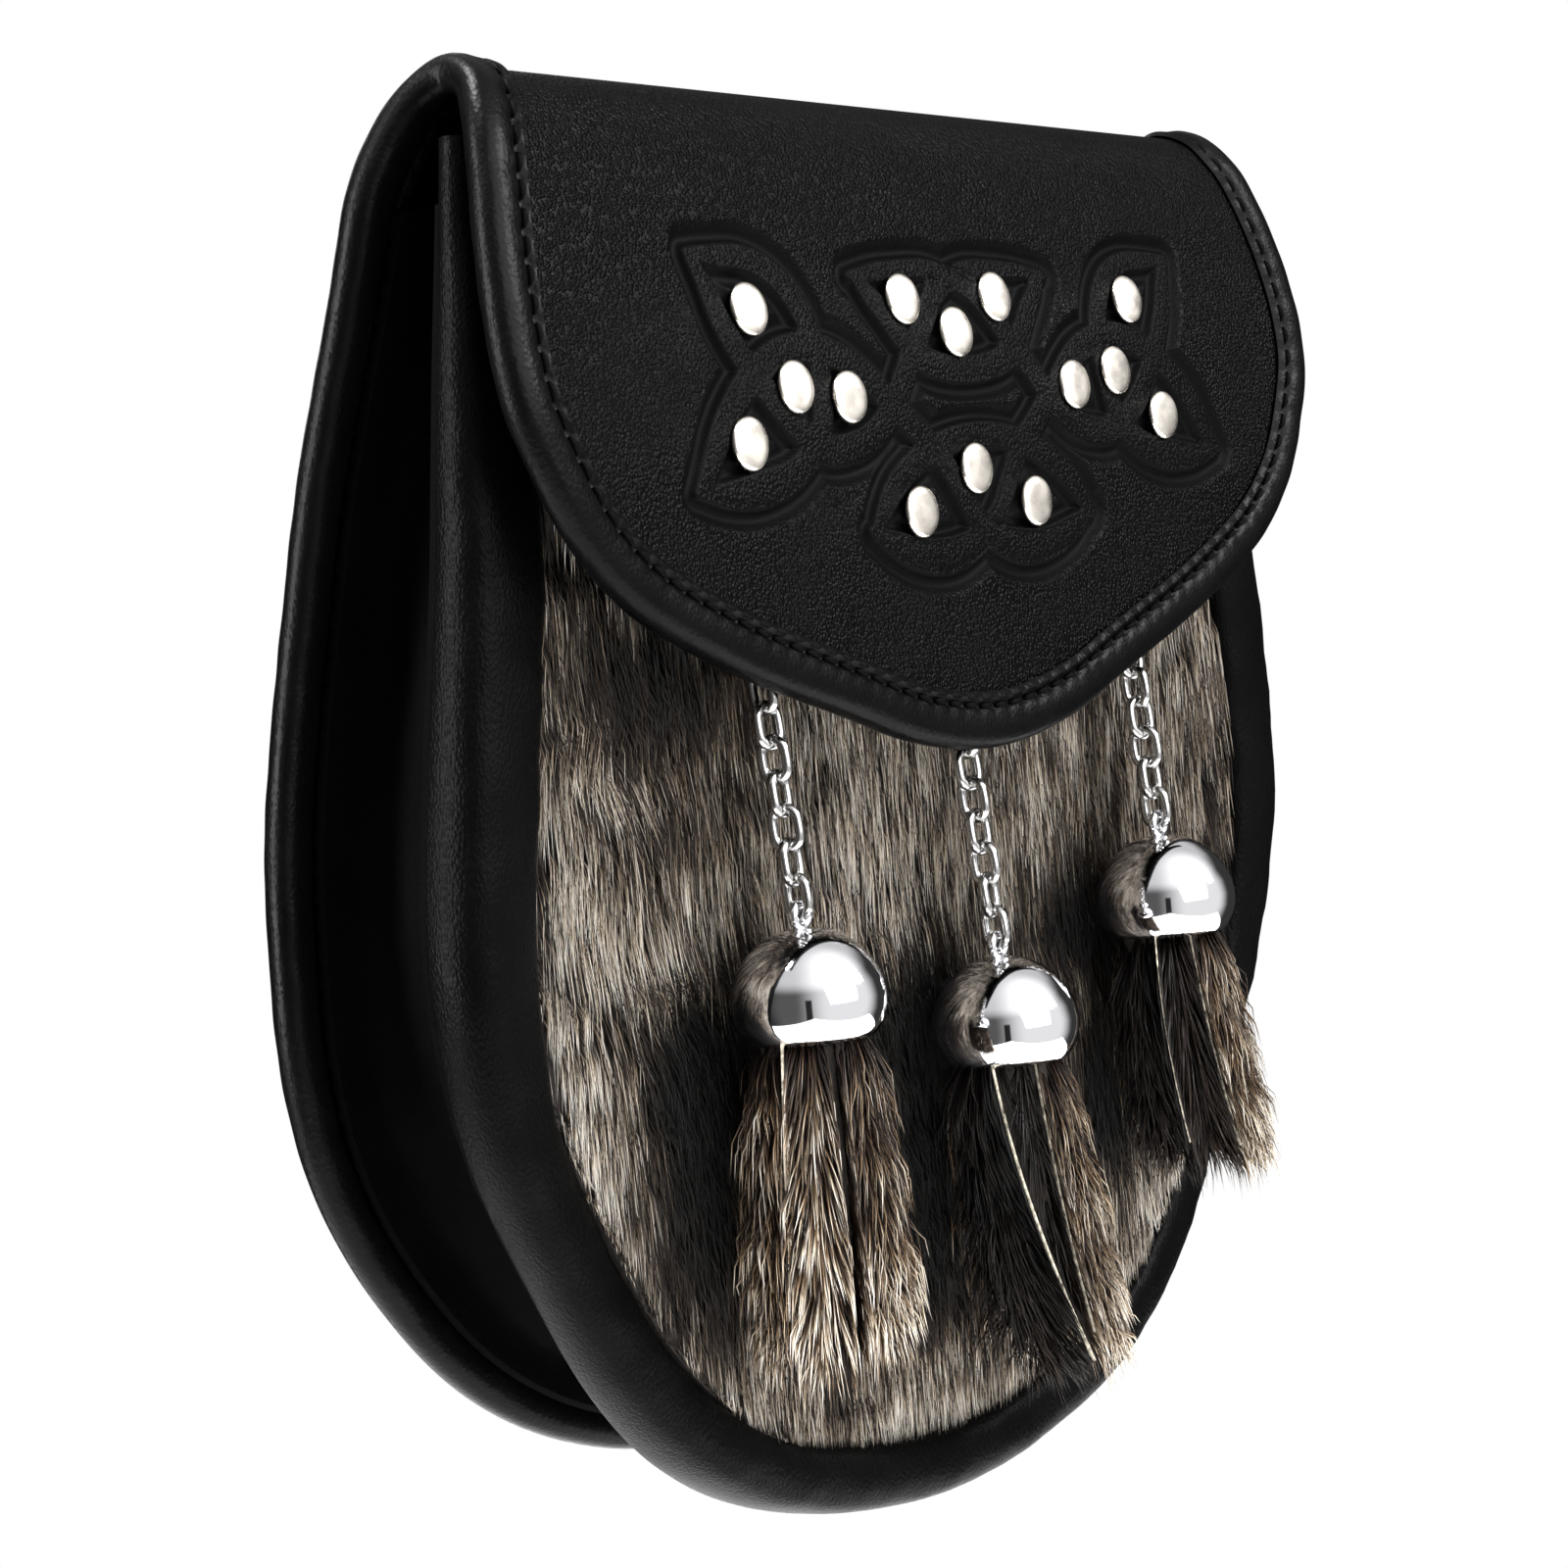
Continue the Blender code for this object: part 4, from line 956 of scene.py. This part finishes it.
def makeBells():
    wall = bell["wall"]
    outside = [(r * bell["radius"], -h * bell["height"]) for r, h in bell["profile"]]
    inside = [(max(r - wall, 0.0), h - (wall if r < 9.0 else 0.0)) for r, h in outside[:-1]]
    lipRadius, lipHeight = outside[-1]
    lip = [(lipRadius - wall * 0.4, lipHeight - 0.15), (lipRadius - wall * 0.8, lipHeight)]
    for name, across, top, *_ in drops:
        bm = turned(outside + lip + inside[::-1], bell["steps"])
        place = at(across, bell["depth"], top)
        bmesh.ops.translate(bm, verts=bm.verts, vec=place)
        addLink(bm, place + upwards * bell["loopRise"] * mm, upwards, rightwards, bell["loop"], bell["loop"])
        addPiece(f"bell_cap_{name}", bm, chrome, [f"bell_{name}"], sharp=50.0)


def dressNodes():
    # hidden pieces of the frame keep their solids
    finishes = {"front_panel": gussetLeather, "press_stud": nickel}
    finishes.update({f"staple_{drop[0]}": chainSteel for drop in drops})
    for name, finish in finishes.items():
        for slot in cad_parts[name].material_slots:
            slot.material = finish


makeStuds()
makeChains()
makeBells()
dressNodes()
print("studs, chains and bells made")


# The front of hair-on hide

fur = {
    # height, depth of the mean surface
    "rows": [(34.0, 15.6), (0.0, 15.2), (-40.0, 15.4), (-62.0, 16.6), (-90.0, 17.9), (-120.0, 18.4),
             (-150.0, 19.0), (-168.0, 20.2), (-174.0, 20.6)],
    "top": 26.0,
    "skinBelow": 2.6,           # from the mean surface of the hair to the skin
    "panelGap": 0.35,
    "columns": 50,
    "rowsDown": 64,
    "count": 41400,
    "perPiece": 13800,
    "clump": 13,                # hairs in a lock
    "spread": 1.8,
    "clumpLean": 0.05,          # how much the locks differ in lean and in tone
    "clumpTone": 0.19,
    "length": (11.0, 19.0),
    "lengthVary": (0.75, 1.1),
    "radius": (0.09, 0.18),
    "bend": 0.2,
    "rise": (2.2, 3.9),         # of a hair over the skin
    "under": 0.3,               # share of short dark underfur, its length, rise and tone
    "underLength": 0.65,
    "underRise": (1.0, 2.2),
    "underTone": 0.35,
    "pull": 0.25,               # how far a lock draws together
    "hidden": (8.0, -18.0, 0.35),           # no hair above the first level; above the second, this share
    "overlap": 2.0,             # how far tips reach over the rim
    "bottomFree": 14.0,         # the lowest hairs aren't drawn to the middle
    "tone": 0.70,
    "mottle": [(0.17, 9.0, 11), (0.14, 3.5, 12)],       # how much, how wide, seed
    "vary": 0.22,
    "varyPale": (1.3, 0.1),     # a pale place varies this much more, a dark one at least this much
    "bright": (0.12, 0.3),      # share of stray pale hairs, how much paler
    "cool": 0.45,               # share of greyer hairs
    "lean": 0.04,               # to the right of straight down, in radians
    "leanVary": 0.045,
    "rimLean": (0.12, 7),       # how much more at the rim, and the power it sets in with
    "sway": [(0.08, 18.0, 21), (0.05, 6.0, 22)],
    "swirls": [(-70.0, -85.0, 18.0, 5.0, 0.75), (-78.0, -50.0, 16.0, 3.5, 0.5)],
    # patches of darker and paler hair, many of the dark ones painted shadow of the flap, the bells and the
    # tassels and painted shade under the ridges: across, height, reach across, reach down, how pale
    "patchesAndShadows": [
        (-68.0, -33.0, 23.0, 13.0, -0.75), (-93.0, -66.0, 10.0, 24.0, 0.50),
        (-91.0, -102.0, 10.0, 18.0, 0.34), (-66.0, -57.0, 12.0, 3.0, -0.40),
        (-70.0, -74.0, 14.0, 8.0, 0.16), (-15.0, -70.0, 26.0, 15.0, 0.22),
        (32.0, -74.0, 18.0, 14.0, 0.04), (-63.0, -93.0, 14.0, 12.0, -1.10),
        (-65.0, -118.0, 14.0, 22.0, -0.75), (-66.0, -84.5, 13.0, 1.8, -0.40),
        (-10.0, -94.0, 17.0, 11.0, -0.95), (-5.0, -124.0, 17.0, 24.0, -1.05),
        (43.0, -84.0, 15.0, 11.0, -0.90), (49.0, -116.0, 12.0, 20.0, -0.85),
        (-13.0, -155.0, 17.0, 7.0, 0.40), (57.0, -139.0, 13.0, 8.0, 0.24),
        (-32.0, -138.0, 10.0, 22.0, -0.45), (92.0, -104.0, 11.0, 30.0, -0.80),
        (-61.0, -150.0, 15.0, 6.0, 0.20), (72.0, -110.0, 14.0, 22.0, -0.40),
        (92.0, -62.0, 11.0, 16.0, -0.10),
    ],
    # soft ridges that the hide lies in: across, height, reach across, reach down, rise
    "ridges": [(-82.0, -47.0, 20.0, 3.6, 1.8), (-72.0, -88.5, 20.0, 3.6, 1.9), (-5.0, -93.0, 11.0, 4.5, 1.3),
               (30.0, -108.0, 16.0, 5.0, 0.9)],
}
furDepths = through(fur["rows"])[::-1]
edgeRows = np.stack([rimCurve[:, 1], rimCurve[:, 0]], axis=1)
furEdge = (edgeRows + toRight(edgeRows) * (rimCurve[:, 3:] + 0.2))[::-1]


def furHalf(height):
    return np.interp(height, furEdge[:, 1], furEdge[:, 0])


def furDepth(across, height):
    # the skin's depth, nearer the viewer on the ridges
    depth = np.interp(height, furDepths[:, 0], furDepths[:, 1]) + fur["skinBelow"]
    return np.minimum(depth - mounds(fur["ridges"], across, height), panelDepth(height) - 0.6)


def makeHide():
    low = furEdge[0, 1] + 1.5

    def place(x, y, z):
        height = low + (fur["top"] - low) * (y + 0.5)
        across = 2.0 * x * furHalf(height)
        depth = np.where(z > -0.5, furDepth(across, height), panelDepth(height) - fur["panelGap"])
        return at(across, depth, height)

    bm = slab(fur["columns"], fur["rowsDown"])
    remap(bm, place)
    addPiece("fur_hide", bm, skin, ["fur_panel"], sharp=50.0)


def hairShape(rings):
    # a thin three-sided spike with a few joints to bend at
    bm = bmesh.new()
    bmesh.ops.create_circle(bm, segments=3, radius=1.0, cap_ends=True)
    tip = bm.faces[:]
    for ring in range(rings + 1):
        grown = bmesh.ops.extrude_face_region(bm, geom=tip, use_keep_orig=ring == 0)["geom"]
        verts = [item for item in grown if isinstance(item, bmesh.types.BMVert)]
        faces = [item for item in grown if isinstance(item, bmesh.types.BMFace)]
        tip = [face for face in faces if set(face.verts) == set(verts)]
        bmesh.ops.translate(bm, verts=verts, vec=(0.0, 0.0, 1.0 / (rings + 1)))
    bmesh.ops.pointmerge(bm, verts=verts, merge_co=(0.0, 0.0, 1.0))
    bmesh.ops.recalc_face_normals(bm, faces=bm.faces)
    bm.verts.index_update()
    return bm


def addHair(name, rings, path, radius, tone, cool, material):
    # path(t) gives each hair's points at a share t of its length; tone is how pale, cool how grey
    bm = hairShape(rings)
    shape = np.array([vert.co for vert in bm.verts])
    shares = np.unique(np.round(shape[:, 2], 4))
    lines = np.stack([path(t) for t in shares], axis=1)
    ways = unit(np.gradient(lines, axis=1))
    sides = unit(np.cross(ways, (0.31, 0.9, 0.3)))
    tops = np.cross(ways, sides)
    level = np.searchsorted(shares, np.round(shape[:, 2], 4))
    taper = (1.0 - 0.72 * shape[:, 2] ** 1.6)[None, :, None] * radius[:, None, None] * mm
    around = sides[:, level] * shape[None, :, :1] + tops[:, level] * shape[None, :, 1:2]
    placed = lines[:, level] + around * taper
    tones = np.empty((len(tone), len(shape), 2))
    tones[..., 0] = np.clip(tone, 0.01, 0.99)[:, None]
    tones[..., 1] = (cool[:, None] + 0.01 + 0.97 * shape[None, :, 2]) / 2.0
    addCopies(name, bm, placed, material, tones)


def furToneAndShadows(across, height):
    spots = np.stack([across, height * 0.6], axis=1)
    mottle = sum(much * softNoise(spots, wide, seed) for much, wide, seed in fur["mottle"])
    # the patches add the hair's own darker and paler places, and painted shadow round the bells and tassels,
    # under the flap and under the ridges
    return fur["tone"] + mottle + mounds(fur["patchesAndShadows"], across, height)


def furLean(across, height):
    # how far a hair leans right of straight down, in radians, more beside the rim
    spots = np.stack([across, height], axis=1)
    sway = sum(much * softNoise(spots, wide, seed) for much, wide, seed in fur["sway"])
    much, power = fur["rimLean"]
    atRim = much * (across / furHalf(height)) ** power
    return fur["lean"] + sway + mounds(fur["swirls"], across, height) + atRim


def furLow(across):
    # the lower edge of the hair at a place across
    bowl = furEdge[: np.argmax(furEdge[:, 0]) + 1]
    return np.interp(np.abs(across), bowl[:, 0], bowl[:, 1])


def makeFur():
    # where the locks grow, from the top down
    wanted = fur["count"] // fur["clump"]
    low = furEdge[0, 1] + 2.0
    top, flapLevel, underFlap = fur["hidden"]
    height = rng.uniform(low, top, wanted * 2)
    across = rng.uniform(-1.0, 1.0, wanted * 2) * 100.0
    shown = (height < flapLevel) | (rng.random(wanted * 2) < underFlap)
    inside = (np.abs(across) < furHalf(height) - 0.5) & shown
    across, height = across[inside][:wanted], height[inside][:wanted]
    order = np.argsort(-height)
    across, height = across[order], height[order]
    clumps = len(across)
    clumpLean = rng.normal(0.0, fur["clumpLean"], clumps)
    clumpTone = rng.normal(0.0, fur["clumpTone"], clumps)
    clumpLength = rng.uniform(*fur["length"], clumps)

    # each hair's root, tip and bend
    owner = np.repeat(np.arange(clumps), fur["clump"])
    count = len(owner)
    offX, offZ = rng.normal(0.0, fur["spread"], (2, count))
    rootX, rootZ = across[owner] + offX, height[owner] + offZ
    half = furHalf(rootZ) - 0.4
    rootX = np.clip(rootX, -half, half)
    rootZ = np.clip(rootZ, low, fur["top"])
    lean = furLean(rootX, rootZ) + clumpLean[owner] + rng.normal(0.0, fur["leanVary"], count)
    under = rng.random(count) < fur["under"]
    length = clumpLength[owner] * rng.uniform(*fur["lengthVary"], count)
    length = length * np.where(under, fur["underLength"], 1.0)
    keep = 1.0 - fur["pull"] * rng.uniform(0.5, 1.0, count)
    tipX = across[owner] + offX * keep + np.sin(lean) * length
    tipZ = height[owner] + offZ * keep - np.cos(lean) * length
    room = (rootZ - furLow(tipX) + fur["overlap"] * rng.uniform(0.0, 1.0, count)) / (rootZ - tipZ)
    room = np.clip(room, 0.2, 1.0)
    tipX, tipZ = rootX + (tipX - rootX) * room, rootZ + (tipZ - rootZ) * room
    half = furHalf(np.maximum(tipZ, low + fur["bottomFree"])) + 0.8
    tipX = np.clip(tipX, -half, half)
    rise = np.where(under, rng.uniform(*fur["underRise"], count), rng.uniform(*fur["rise"], count))
    rise = rise * (0.5 + 0.5 * room)
    bend = rng.normal(0.0, fur["bend"], count)

    tone = furToneAndShadows(rootX, rootZ)
    vary = clumpTone[owner] + rng.normal(0.0, fur["vary"], count) - np.where(under, fur["underTone"], 0.0)
    brightShare, brighter = fur["bright"]
    vary = np.where(rng.random(count) < brightShare, vary + brighter, vary)
    more, least = fur["varyPale"]
    tone = tone + vary * np.clip(more * tone, least, 1.0)
    cool = (rng.random(count) < fur["cool"]).astype(float)
    radius = rng.uniform(*fur["radius"], count)

    def pathOf(part):
        x0, z0, x1, z1, h, b = (a[part] for a in (rootX, rootZ, tipX, tipZ, rise, bend))

        def path(t):
            x = x0 + (x1 - x0) * t + b * np.sin(pi * t)
            z = z0 + (z1 - z0) * t
            base = furDepth(x, np.maximum(z, furEdge[0, 1]))
            lift = h * np.sin(0.5 * pi * min(t * 1.35, 1.0)) - 0.5 * h * max(t - 0.7, 0.0)
            return at(x, base - lift + 0.2 * (1.0 - t), z)

        return path

    for number, start in enumerate(range(0, count, fur["perPiece"]), start=1):
        part = slice(start, start + fur["perPiece"])
        addHair(f"fur_hair_{number}", 1, pathOf(part), radius[part], tone[part], cool[part], furHair)
    print("front fur made,", count, "hairs")


# The tassels, strips of hair-on hide

tassel = {
    "depthShare": 0.86,
    # share of the length down, share of the half width of the dark core
    "core": [(-0.16, 0.56), (-0.02, 0.60), (0.12, 0.60), (0.4, 0.66), (0.7, 0.62), (0.84, 0.36), (0.92, 0.0)],
    # share of the length down, share of the half width that the hair reaches
    "hairReach": [(0.0, 0.74), (0.25, 0.86), (0.55, 0.97), (0.85, 1.0), (1.0, 0.93), (1.1, 0.85)],
    # and that the cut edges lie at
    "edgeReach": [(0.0, 0.74), (0.3, 0.86), (0.9, 0.97)],
    # strips of hide, by the angle of their middle at the bell and at the tip (the camera looks at 218), share
    # of the length, of the half width, degrees from the middle to the edge, how pale (darker hair, and
    # painted shade on the strips turned away from the key light), share of the hairs
    "strips": {
        "left": [(166, 160, 0.96, 0.98, 26, 0.02, 1.1), (214, 214, 1.0, 1.0, 17, 0.20, 1.2),
                 (274, 268, 0.97, 1.0, 26, 0.10, 1.2), (350, 350, 0.93, 0.95, 32, 0.0, 0.5),
                 (90, 90, 0.95, 0.95, 32, -0.1, 0.5)],
        "middle": [(176, 208, 1.0, 1.0, 28, -0.48, 1.4), (236, 253, 0.90, 0.9, 5, -0.4, 0.3),
                   (280, 285, 0.98, 1.0, 27, 0.06, 1.5), (350, 350, 0.93, 0.95, 32, 0.0, 0.5),
                   (90, 90, 0.95, 0.95, 32, -0.1, 0.5)],
        "right": [(174, 172, 0.97, 0.95, 26, -0.44, 1.1), (222, 230, 0.98, 0.96, 14, -0.36, 0.8),
                  (275, 280, 1.0, 1.0, 28, 0.12, 1.5), (350, 350, 0.93, 0.95, 32, 0.0, 0.5),
                  (90, 90, 0.95, 0.95, 32, -0.1, 0.5)],
    },
    # gaps between strips: angle at the bell, at the tip, half the gap, how far down a pale cut edge shows and
    # half its thickness
    "gaps": {
        "left": [(194, 189, 2.0, 0.42, 0.20), (240, 240, 5.0, 0.0, 0.0)],
        "middle": [(203, 250, 2.5, 0.95, 0.38), (246, 256, 2.5, 0.86, 0.15)],
        "right": [(203, 208, 2.0, 0.84, 0.14), (240, 249, 3.0, 0.88, 0.17)],
    },
    "coreRipple": 0.06,
    "count": 3000,
    "locks": 30,                # to a strip, down its length
    "roots": (-0.06, 0.88),     # share of the length down that the hairs grow between
    "sideVary": 0.55,           # how far roots lie from a strip's middle, and how much its tip gathers them
    "tipGather": 0.4,
    "lockSide": 0.10,
    "fan": 0.5,                 # how hairs turn outwards, in radians, with the strip, the lock and by chance
    "fanTurn": 0.3,
    "fanLock": 0.12,
    "fanVary": 0.09,
    "tipReach": (1.03, 0.05),   # how far down the hairs end, and how much that varies
    "spreadVary": 0.06,
    "length": (9.0, 16.0),
    "radius": (0.12, 0.21),
    "tone": 0.52,
    "toneDown": 0.12,           # how much paler towards the tip, and darker at a strip's edges, painted shade beside the gaps
    "edgeShade": 0.14,
    "lockTone": 0.14,
    "vary": 0.2,
    "varyPale": (1.5, 0.12),
    "under": (0.3, 0.4),        # share of underfur, how much darker
    "cool": 0.35,               # share of greyer hairs
    "stray": 0.012,             # share of hairs that hang past the tip
    "coreSteps": (28, 40),
    "edgeSteps": (8, 30),
}


def makeTassel(name, across, top, length, shift, halfWidth):
    lip = top - bell["height"]
    profile = through(tassel["core"], 8)
    hairReach, edgeReach = np.array(tassel["hairReach"]), np.array(tassel["edgeReach"])

    def spot(turn, down, width):
        middle = across + shift * np.clip(down, 0.0, 1.0) ** 2
        return at(middle + width * np.cos(turn), bell["depth"] + width * tassel["depthShare"] * np.sin(turn),
                  lip - length * down)

    def core(x, y):
        down, width = along(profile, y)
        turn = x * 2.0 * pi
        ripple = 1.0 + tassel["coreRipple"] * np.sin(3.0 * turn + 5.0 * down)
        return spot(turn, down, width * halfWidth * ripple)

    addPiece(f"tassel_core_{name}", sweep(*tassel["coreSteps"], core), skin, [f"tassel_{name}"],
             sharp=80.0)

    # hair fans out from the middle of each strip of hide and stays on its side of the gaps
    maker = np.random.default_rng(100 + len(name))
    strips = np.array(tassel["strips"][name], float)
    gaps = np.radians(np.array(tassel["gaps"][name], float)[:, :3])
    count, lockCount = tassel["count"], tassel["locks"]
    owner = np.searchsorted(np.cumsum(strips[:, 6]) / strips[:, 6].sum(), maker.random(count))
    first, last, share, spread, reach, pale, _ = strips[owner].T
    down = maker.uniform(*tassel["roots"], count)
    lock = (np.clip(down, 0.0, 0.99) * lockCount).astype(int)
    lockSide, lockFan, lockTone = maker.normal(0.0, 1.0, (len(strips), lockCount, 3))[owner, lock].T
    offMiddle = np.clip(maker.normal(0.0, tassel["sideVary"], count), -1.0, 1.0)
    offMiddle = offMiddle * (1.0 - tassel["tipGather"] * smoothStep(0.7, 1.0, down))
    offMiddle = offMiddle + tassel["lockSide"] * lockSide
    turn = np.radians(first + (last - first) * down + offMiddle * reach)
    fan = tassel["fan"] * offMiddle + np.radians(last - first) * tassel["fanTurn"]
    fan = fan + tassel["fanLock"] * lockFan + maker.normal(0.0, tassel["fanVary"], count)
    coreWidth = np.interp(down, profile[:, 0], profile[:, 1]) * halfWidth
    tipLimit = (share * maker.normal(*tassel["tipReach"], count) - down * share) * length
    tipLimit += np.where(maker.random(count) < tassel["stray"], maker.uniform(3.0, 9.0, count), 0.0)
    hairLength = np.minimum(maker.uniform(*tassel["length"], count), tipLimit)
    envelope = np.interp(down * share + hairLength / length, *hairReach.T) * halfWidth * spread
    spreadVary = tassel["spreadVary"]
    envelope = envelope * (1.0 + spreadVary * lockTone + maker.normal(0.0, spreadVary, count))
    underShare, darker = tassel["under"]
    under = maker.random(count) < underShare
    envelope = np.where(under, (envelope + coreWidth) / 2.0, envelope)
    # a strip's paleness includes painted shade on the strips turned away from the key light
    tone = tassel["tone"] + pale + tassel["toneDown"] * smoothStep(0.2, 0.9, down)
    # painted shade: hair at a strip's edges is darker beside the gaps
    tone = tone - tassel["edgeShade"] * np.abs(offMiddle)
    vary = tassel["lockTone"] * lockTone + maker.normal(0.0, tassel["vary"], count)
    vary = vary - np.where(under, darker, 0.0)
    more, least = tassel["varyPale"]
    tone = tone + vary * np.clip(more * tone, least, 1.0)
    cool = (maker.random(count) < tassel["cool"]).astype(float)
    sides = [np.sign(turn - (start + (end - start) * down)) for start, end, _ in gaps]

    def path(t):
        angle = turn + fan * t
        level = down * share + hairLength / length * t
        for (start, end, half), side in zip(gaps, sides):
            offset = (angle - (start + (end - start) * level)) * side
            angle = angle + side * np.where(offset < half, half - offset, 0.0) * (np.abs(offset) < 1.2)
        width = coreWidth * 0.9 + (envelope - coreWidth * 0.9) * np.sin(0.5 * pi * min(t * 1.15, 1.0))
        return spot(angle, level, width)

    addHair(f"tassel_hair_{name}", 2, path, maker.uniform(*tassel["radius"], count), tone, cool, tasselHair)

    # the cut edges of the hide
    bm = bmesh.new()
    for start, end, _, low, half in tassel["gaps"][name]:
        def edge(x, y):
            roll = x * 2.0 * pi
            level = -0.03 + (low + 0.03) * y
            width = np.interp(level, *edgeReach.T) * halfWidth + 0.5 * np.sin(roll)
            angle = np.radians(start + (end - start) * level) + half * np.cos(roll) / halfWidth
            return spot(angle, level, width)

        if low:
            moveInto(bm, sweep(*tassel["edgeSteps"], edge))
    addPiece(f"tassel_edges_{name}", bm, cutHide, sharp=80.0)


makeHide()
makeFur()
for drop in drops:
    makeTassel(*drop)
print("tassels made")


# Camera, light and floor

view = {
    "place": (-0.5121, -0.4105, 0.0071),
    "azimuth": -51.7, "elevation": 3.977, "roll": -5.441,
    "lens": 87.82,
}


def addCamera():
    azimuth, elevation, roll = (radians(view[key]) for key in ("azimuth", "elevation", "roll"))
    back = Vector((sin(azimuth) * cos(elevation), -cos(azimuth) * cos(elevation), sin(elevation)))
    right = (-back).cross(Vector((0, 0, 1))).normalized()
    up = right.cross(-back)
    one, two = cos(roll) * right + sin(roll) * up, -sin(roll) * right + cos(roll) * up
    matrix = Matrix((one, two, back)).transposed().to_4x4()
    matrix.translation = view["place"]
    data = bpy.data.cameras.new("Camera")
    data.lens, data.sensor_width = view["lens"], 36.0
    camera = bpy.data.objects.new("Camera", data)
    camera.matrix_world = matrix
    bpy.context.collection.objects.link(camera)
    bpy.context.scene.camera = camera
    return right, up, back


lights = {
    # to the camera's right, up, towards the camera, width, height, power
    "key": (0.70, 0.35, 0.62, 0.80, 0.90, 16.5),
    "side": (0.90, 0.45, 0.06, 0.20, 0.25, 8.0),
    "strip": (-0.94, 0.12, 0.34, 0.10, 0.90, 20.0),
    "back": (-0.35, 0.45, -0.85, 0.50, 0.50, 2.0),
    "top": (-0.40, 1.00, 0.25, 0.30, 0.30, 30.0),
}
lightDistance = 0.95


def addLights(right, up, back):
    centre = Vector(at(0.0, 20.0, -60.0))
    for name, (r, u, b, width, height, power) in lights.items():
        data = bpy.data.lights.new(name, "AREA")
        data.shape, data.size, data.size_y, data.energy = "RECTANGLE", width, height, power
        lamp = bpy.data.objects.new(name, data)
        way = (right * r + up * u + back * b).normalized()
        lamp.location = centre + way * lightDistance
        lamp.rotation_euler = way.to_track_quat("Z", "Y").to_euler()
        bpy.context.collection.objects.link(lamp)


room = {
    # how bright by direction, from and to with the brightness at each: towards the tent, to the right, above
    "tent": (-0.15, 0.42, 0.03, 0.7),
    "beside": (-0.35, 0.5, 0.15, 1.3),
    "above": (0.35, 0.7, 0.0, 0.6),
    "tentTurn": 25.0,           # degrees from the camera to its right
    # the dark stand of the camera, ahead, between its right and left edge, and no higher than the camera
    "stand": [("ahead", 0.55, 0.65), ("right", -0.11, -0.07), ("left", -0.09, -0.05), ("down", -0.24, -0.16)],
    "standDark": 0.94,
    "floor": {"size": 0.55, "level": -0.40, "grey": 0.9, "glow": 0.45},
}


def addSurroundings(right, ahead):
    turn = radians(room["tentTurn"])
    axes = {"tent": ahead * cos(turn) + right * sin(turn), "beside": right, "above": Vector((0, 0, 1)),
            "ahead": ahead, "right": right, "left": -right, "down": Vector((0, 0, -1))}
    world = bpy.data.worlds.new("White room")
    bpy.context.scene.world = world
    world.use_nodes = True
    tree = world.node_tree
    # the picture's background is white; what the metal mirrors is bright on one side and dark on the other
    seen = addNode(tree, "LightPath", {}, "Is Camera Ray")
    way = addNode(tree, "TexCoord", {}, "Generated")

    def facing(axis, low, high, toLow=0.0, toHigh=1.0):
        part = addNode(tree, "VectorMath", {0: way, 1: axes[axis]}, operation="DOT_PRODUCT")
        return addNode(tree, "MapRange", {"Value": part, "From Min": low, "From Max": high, "To Min": toLow,
                                          "To Max": toHigh}, interpolation_type="SMOOTHSTEP")

    tent, beside, above = (facing(key, *room[key]) for key in ("tent", "beside", "above"))
    light = addNode(tree, "Math", {0: tent, 1: beside}, operation="MULTIPLY")
    light = addNode(tree, "Math", {0: light, 1: above}, operation="ADD")
    stand = room["standDark"]
    for axis, low, high in room["stand"]:
        stand = addNode(tree, "Math", {0: stand, 1: facing(axis, low, high)}, operation="MULTIPLY")
    lit = addNode(tree, "Math", {0: 1.0, 1: stand}, operation="SUBTRACT")
    light = addNode(tree, "Math", {0: light, 1: lit}, operation="MULTIPLY")
    level = addNode(tree, "Mix", {"Factor": seen, "A": light, "B": 1.0})
    setInputs(tree.nodes["Background"], {"Color": (1.0, 1.0, 1.0, 1.0), "Strength": level})

    floorShape = room["floor"]
    bm = bmesh.new()
    bmesh.ops.create_grid(bm, x_segments=2, y_segments=2, size=floorShape["size"])
    bmesh.ops.translate(bm, verts=bm.verts, vec=(0.0, 0.0, floorShape["level"]))
    mesh = bpy.data.meshes.new("floor")
    bm.to_mesh(mesh)
    bm.free()
    paper, _, shader = newMaterial("White paper sweep")
    setInputs(shader, {"Base Color": (*[floorShape["grey"]] * 3, 1.0), "Roughness": 0.9,
                       "Emission Color": (1.0, 1.0, 1.0, 1.0), "Emission Strength": floorShape["glow"]})
    mesh.materials.append(paper)
    floor = bpy.data.objects.new("floor", mesh)
    bpy.context.collection.objects.link(floor)
    bpy.context.scene.view_settings.view_transform = "Standard"


right, up, back = addCamera()
addLights(right, up, back)
addSurroundings(right, back)
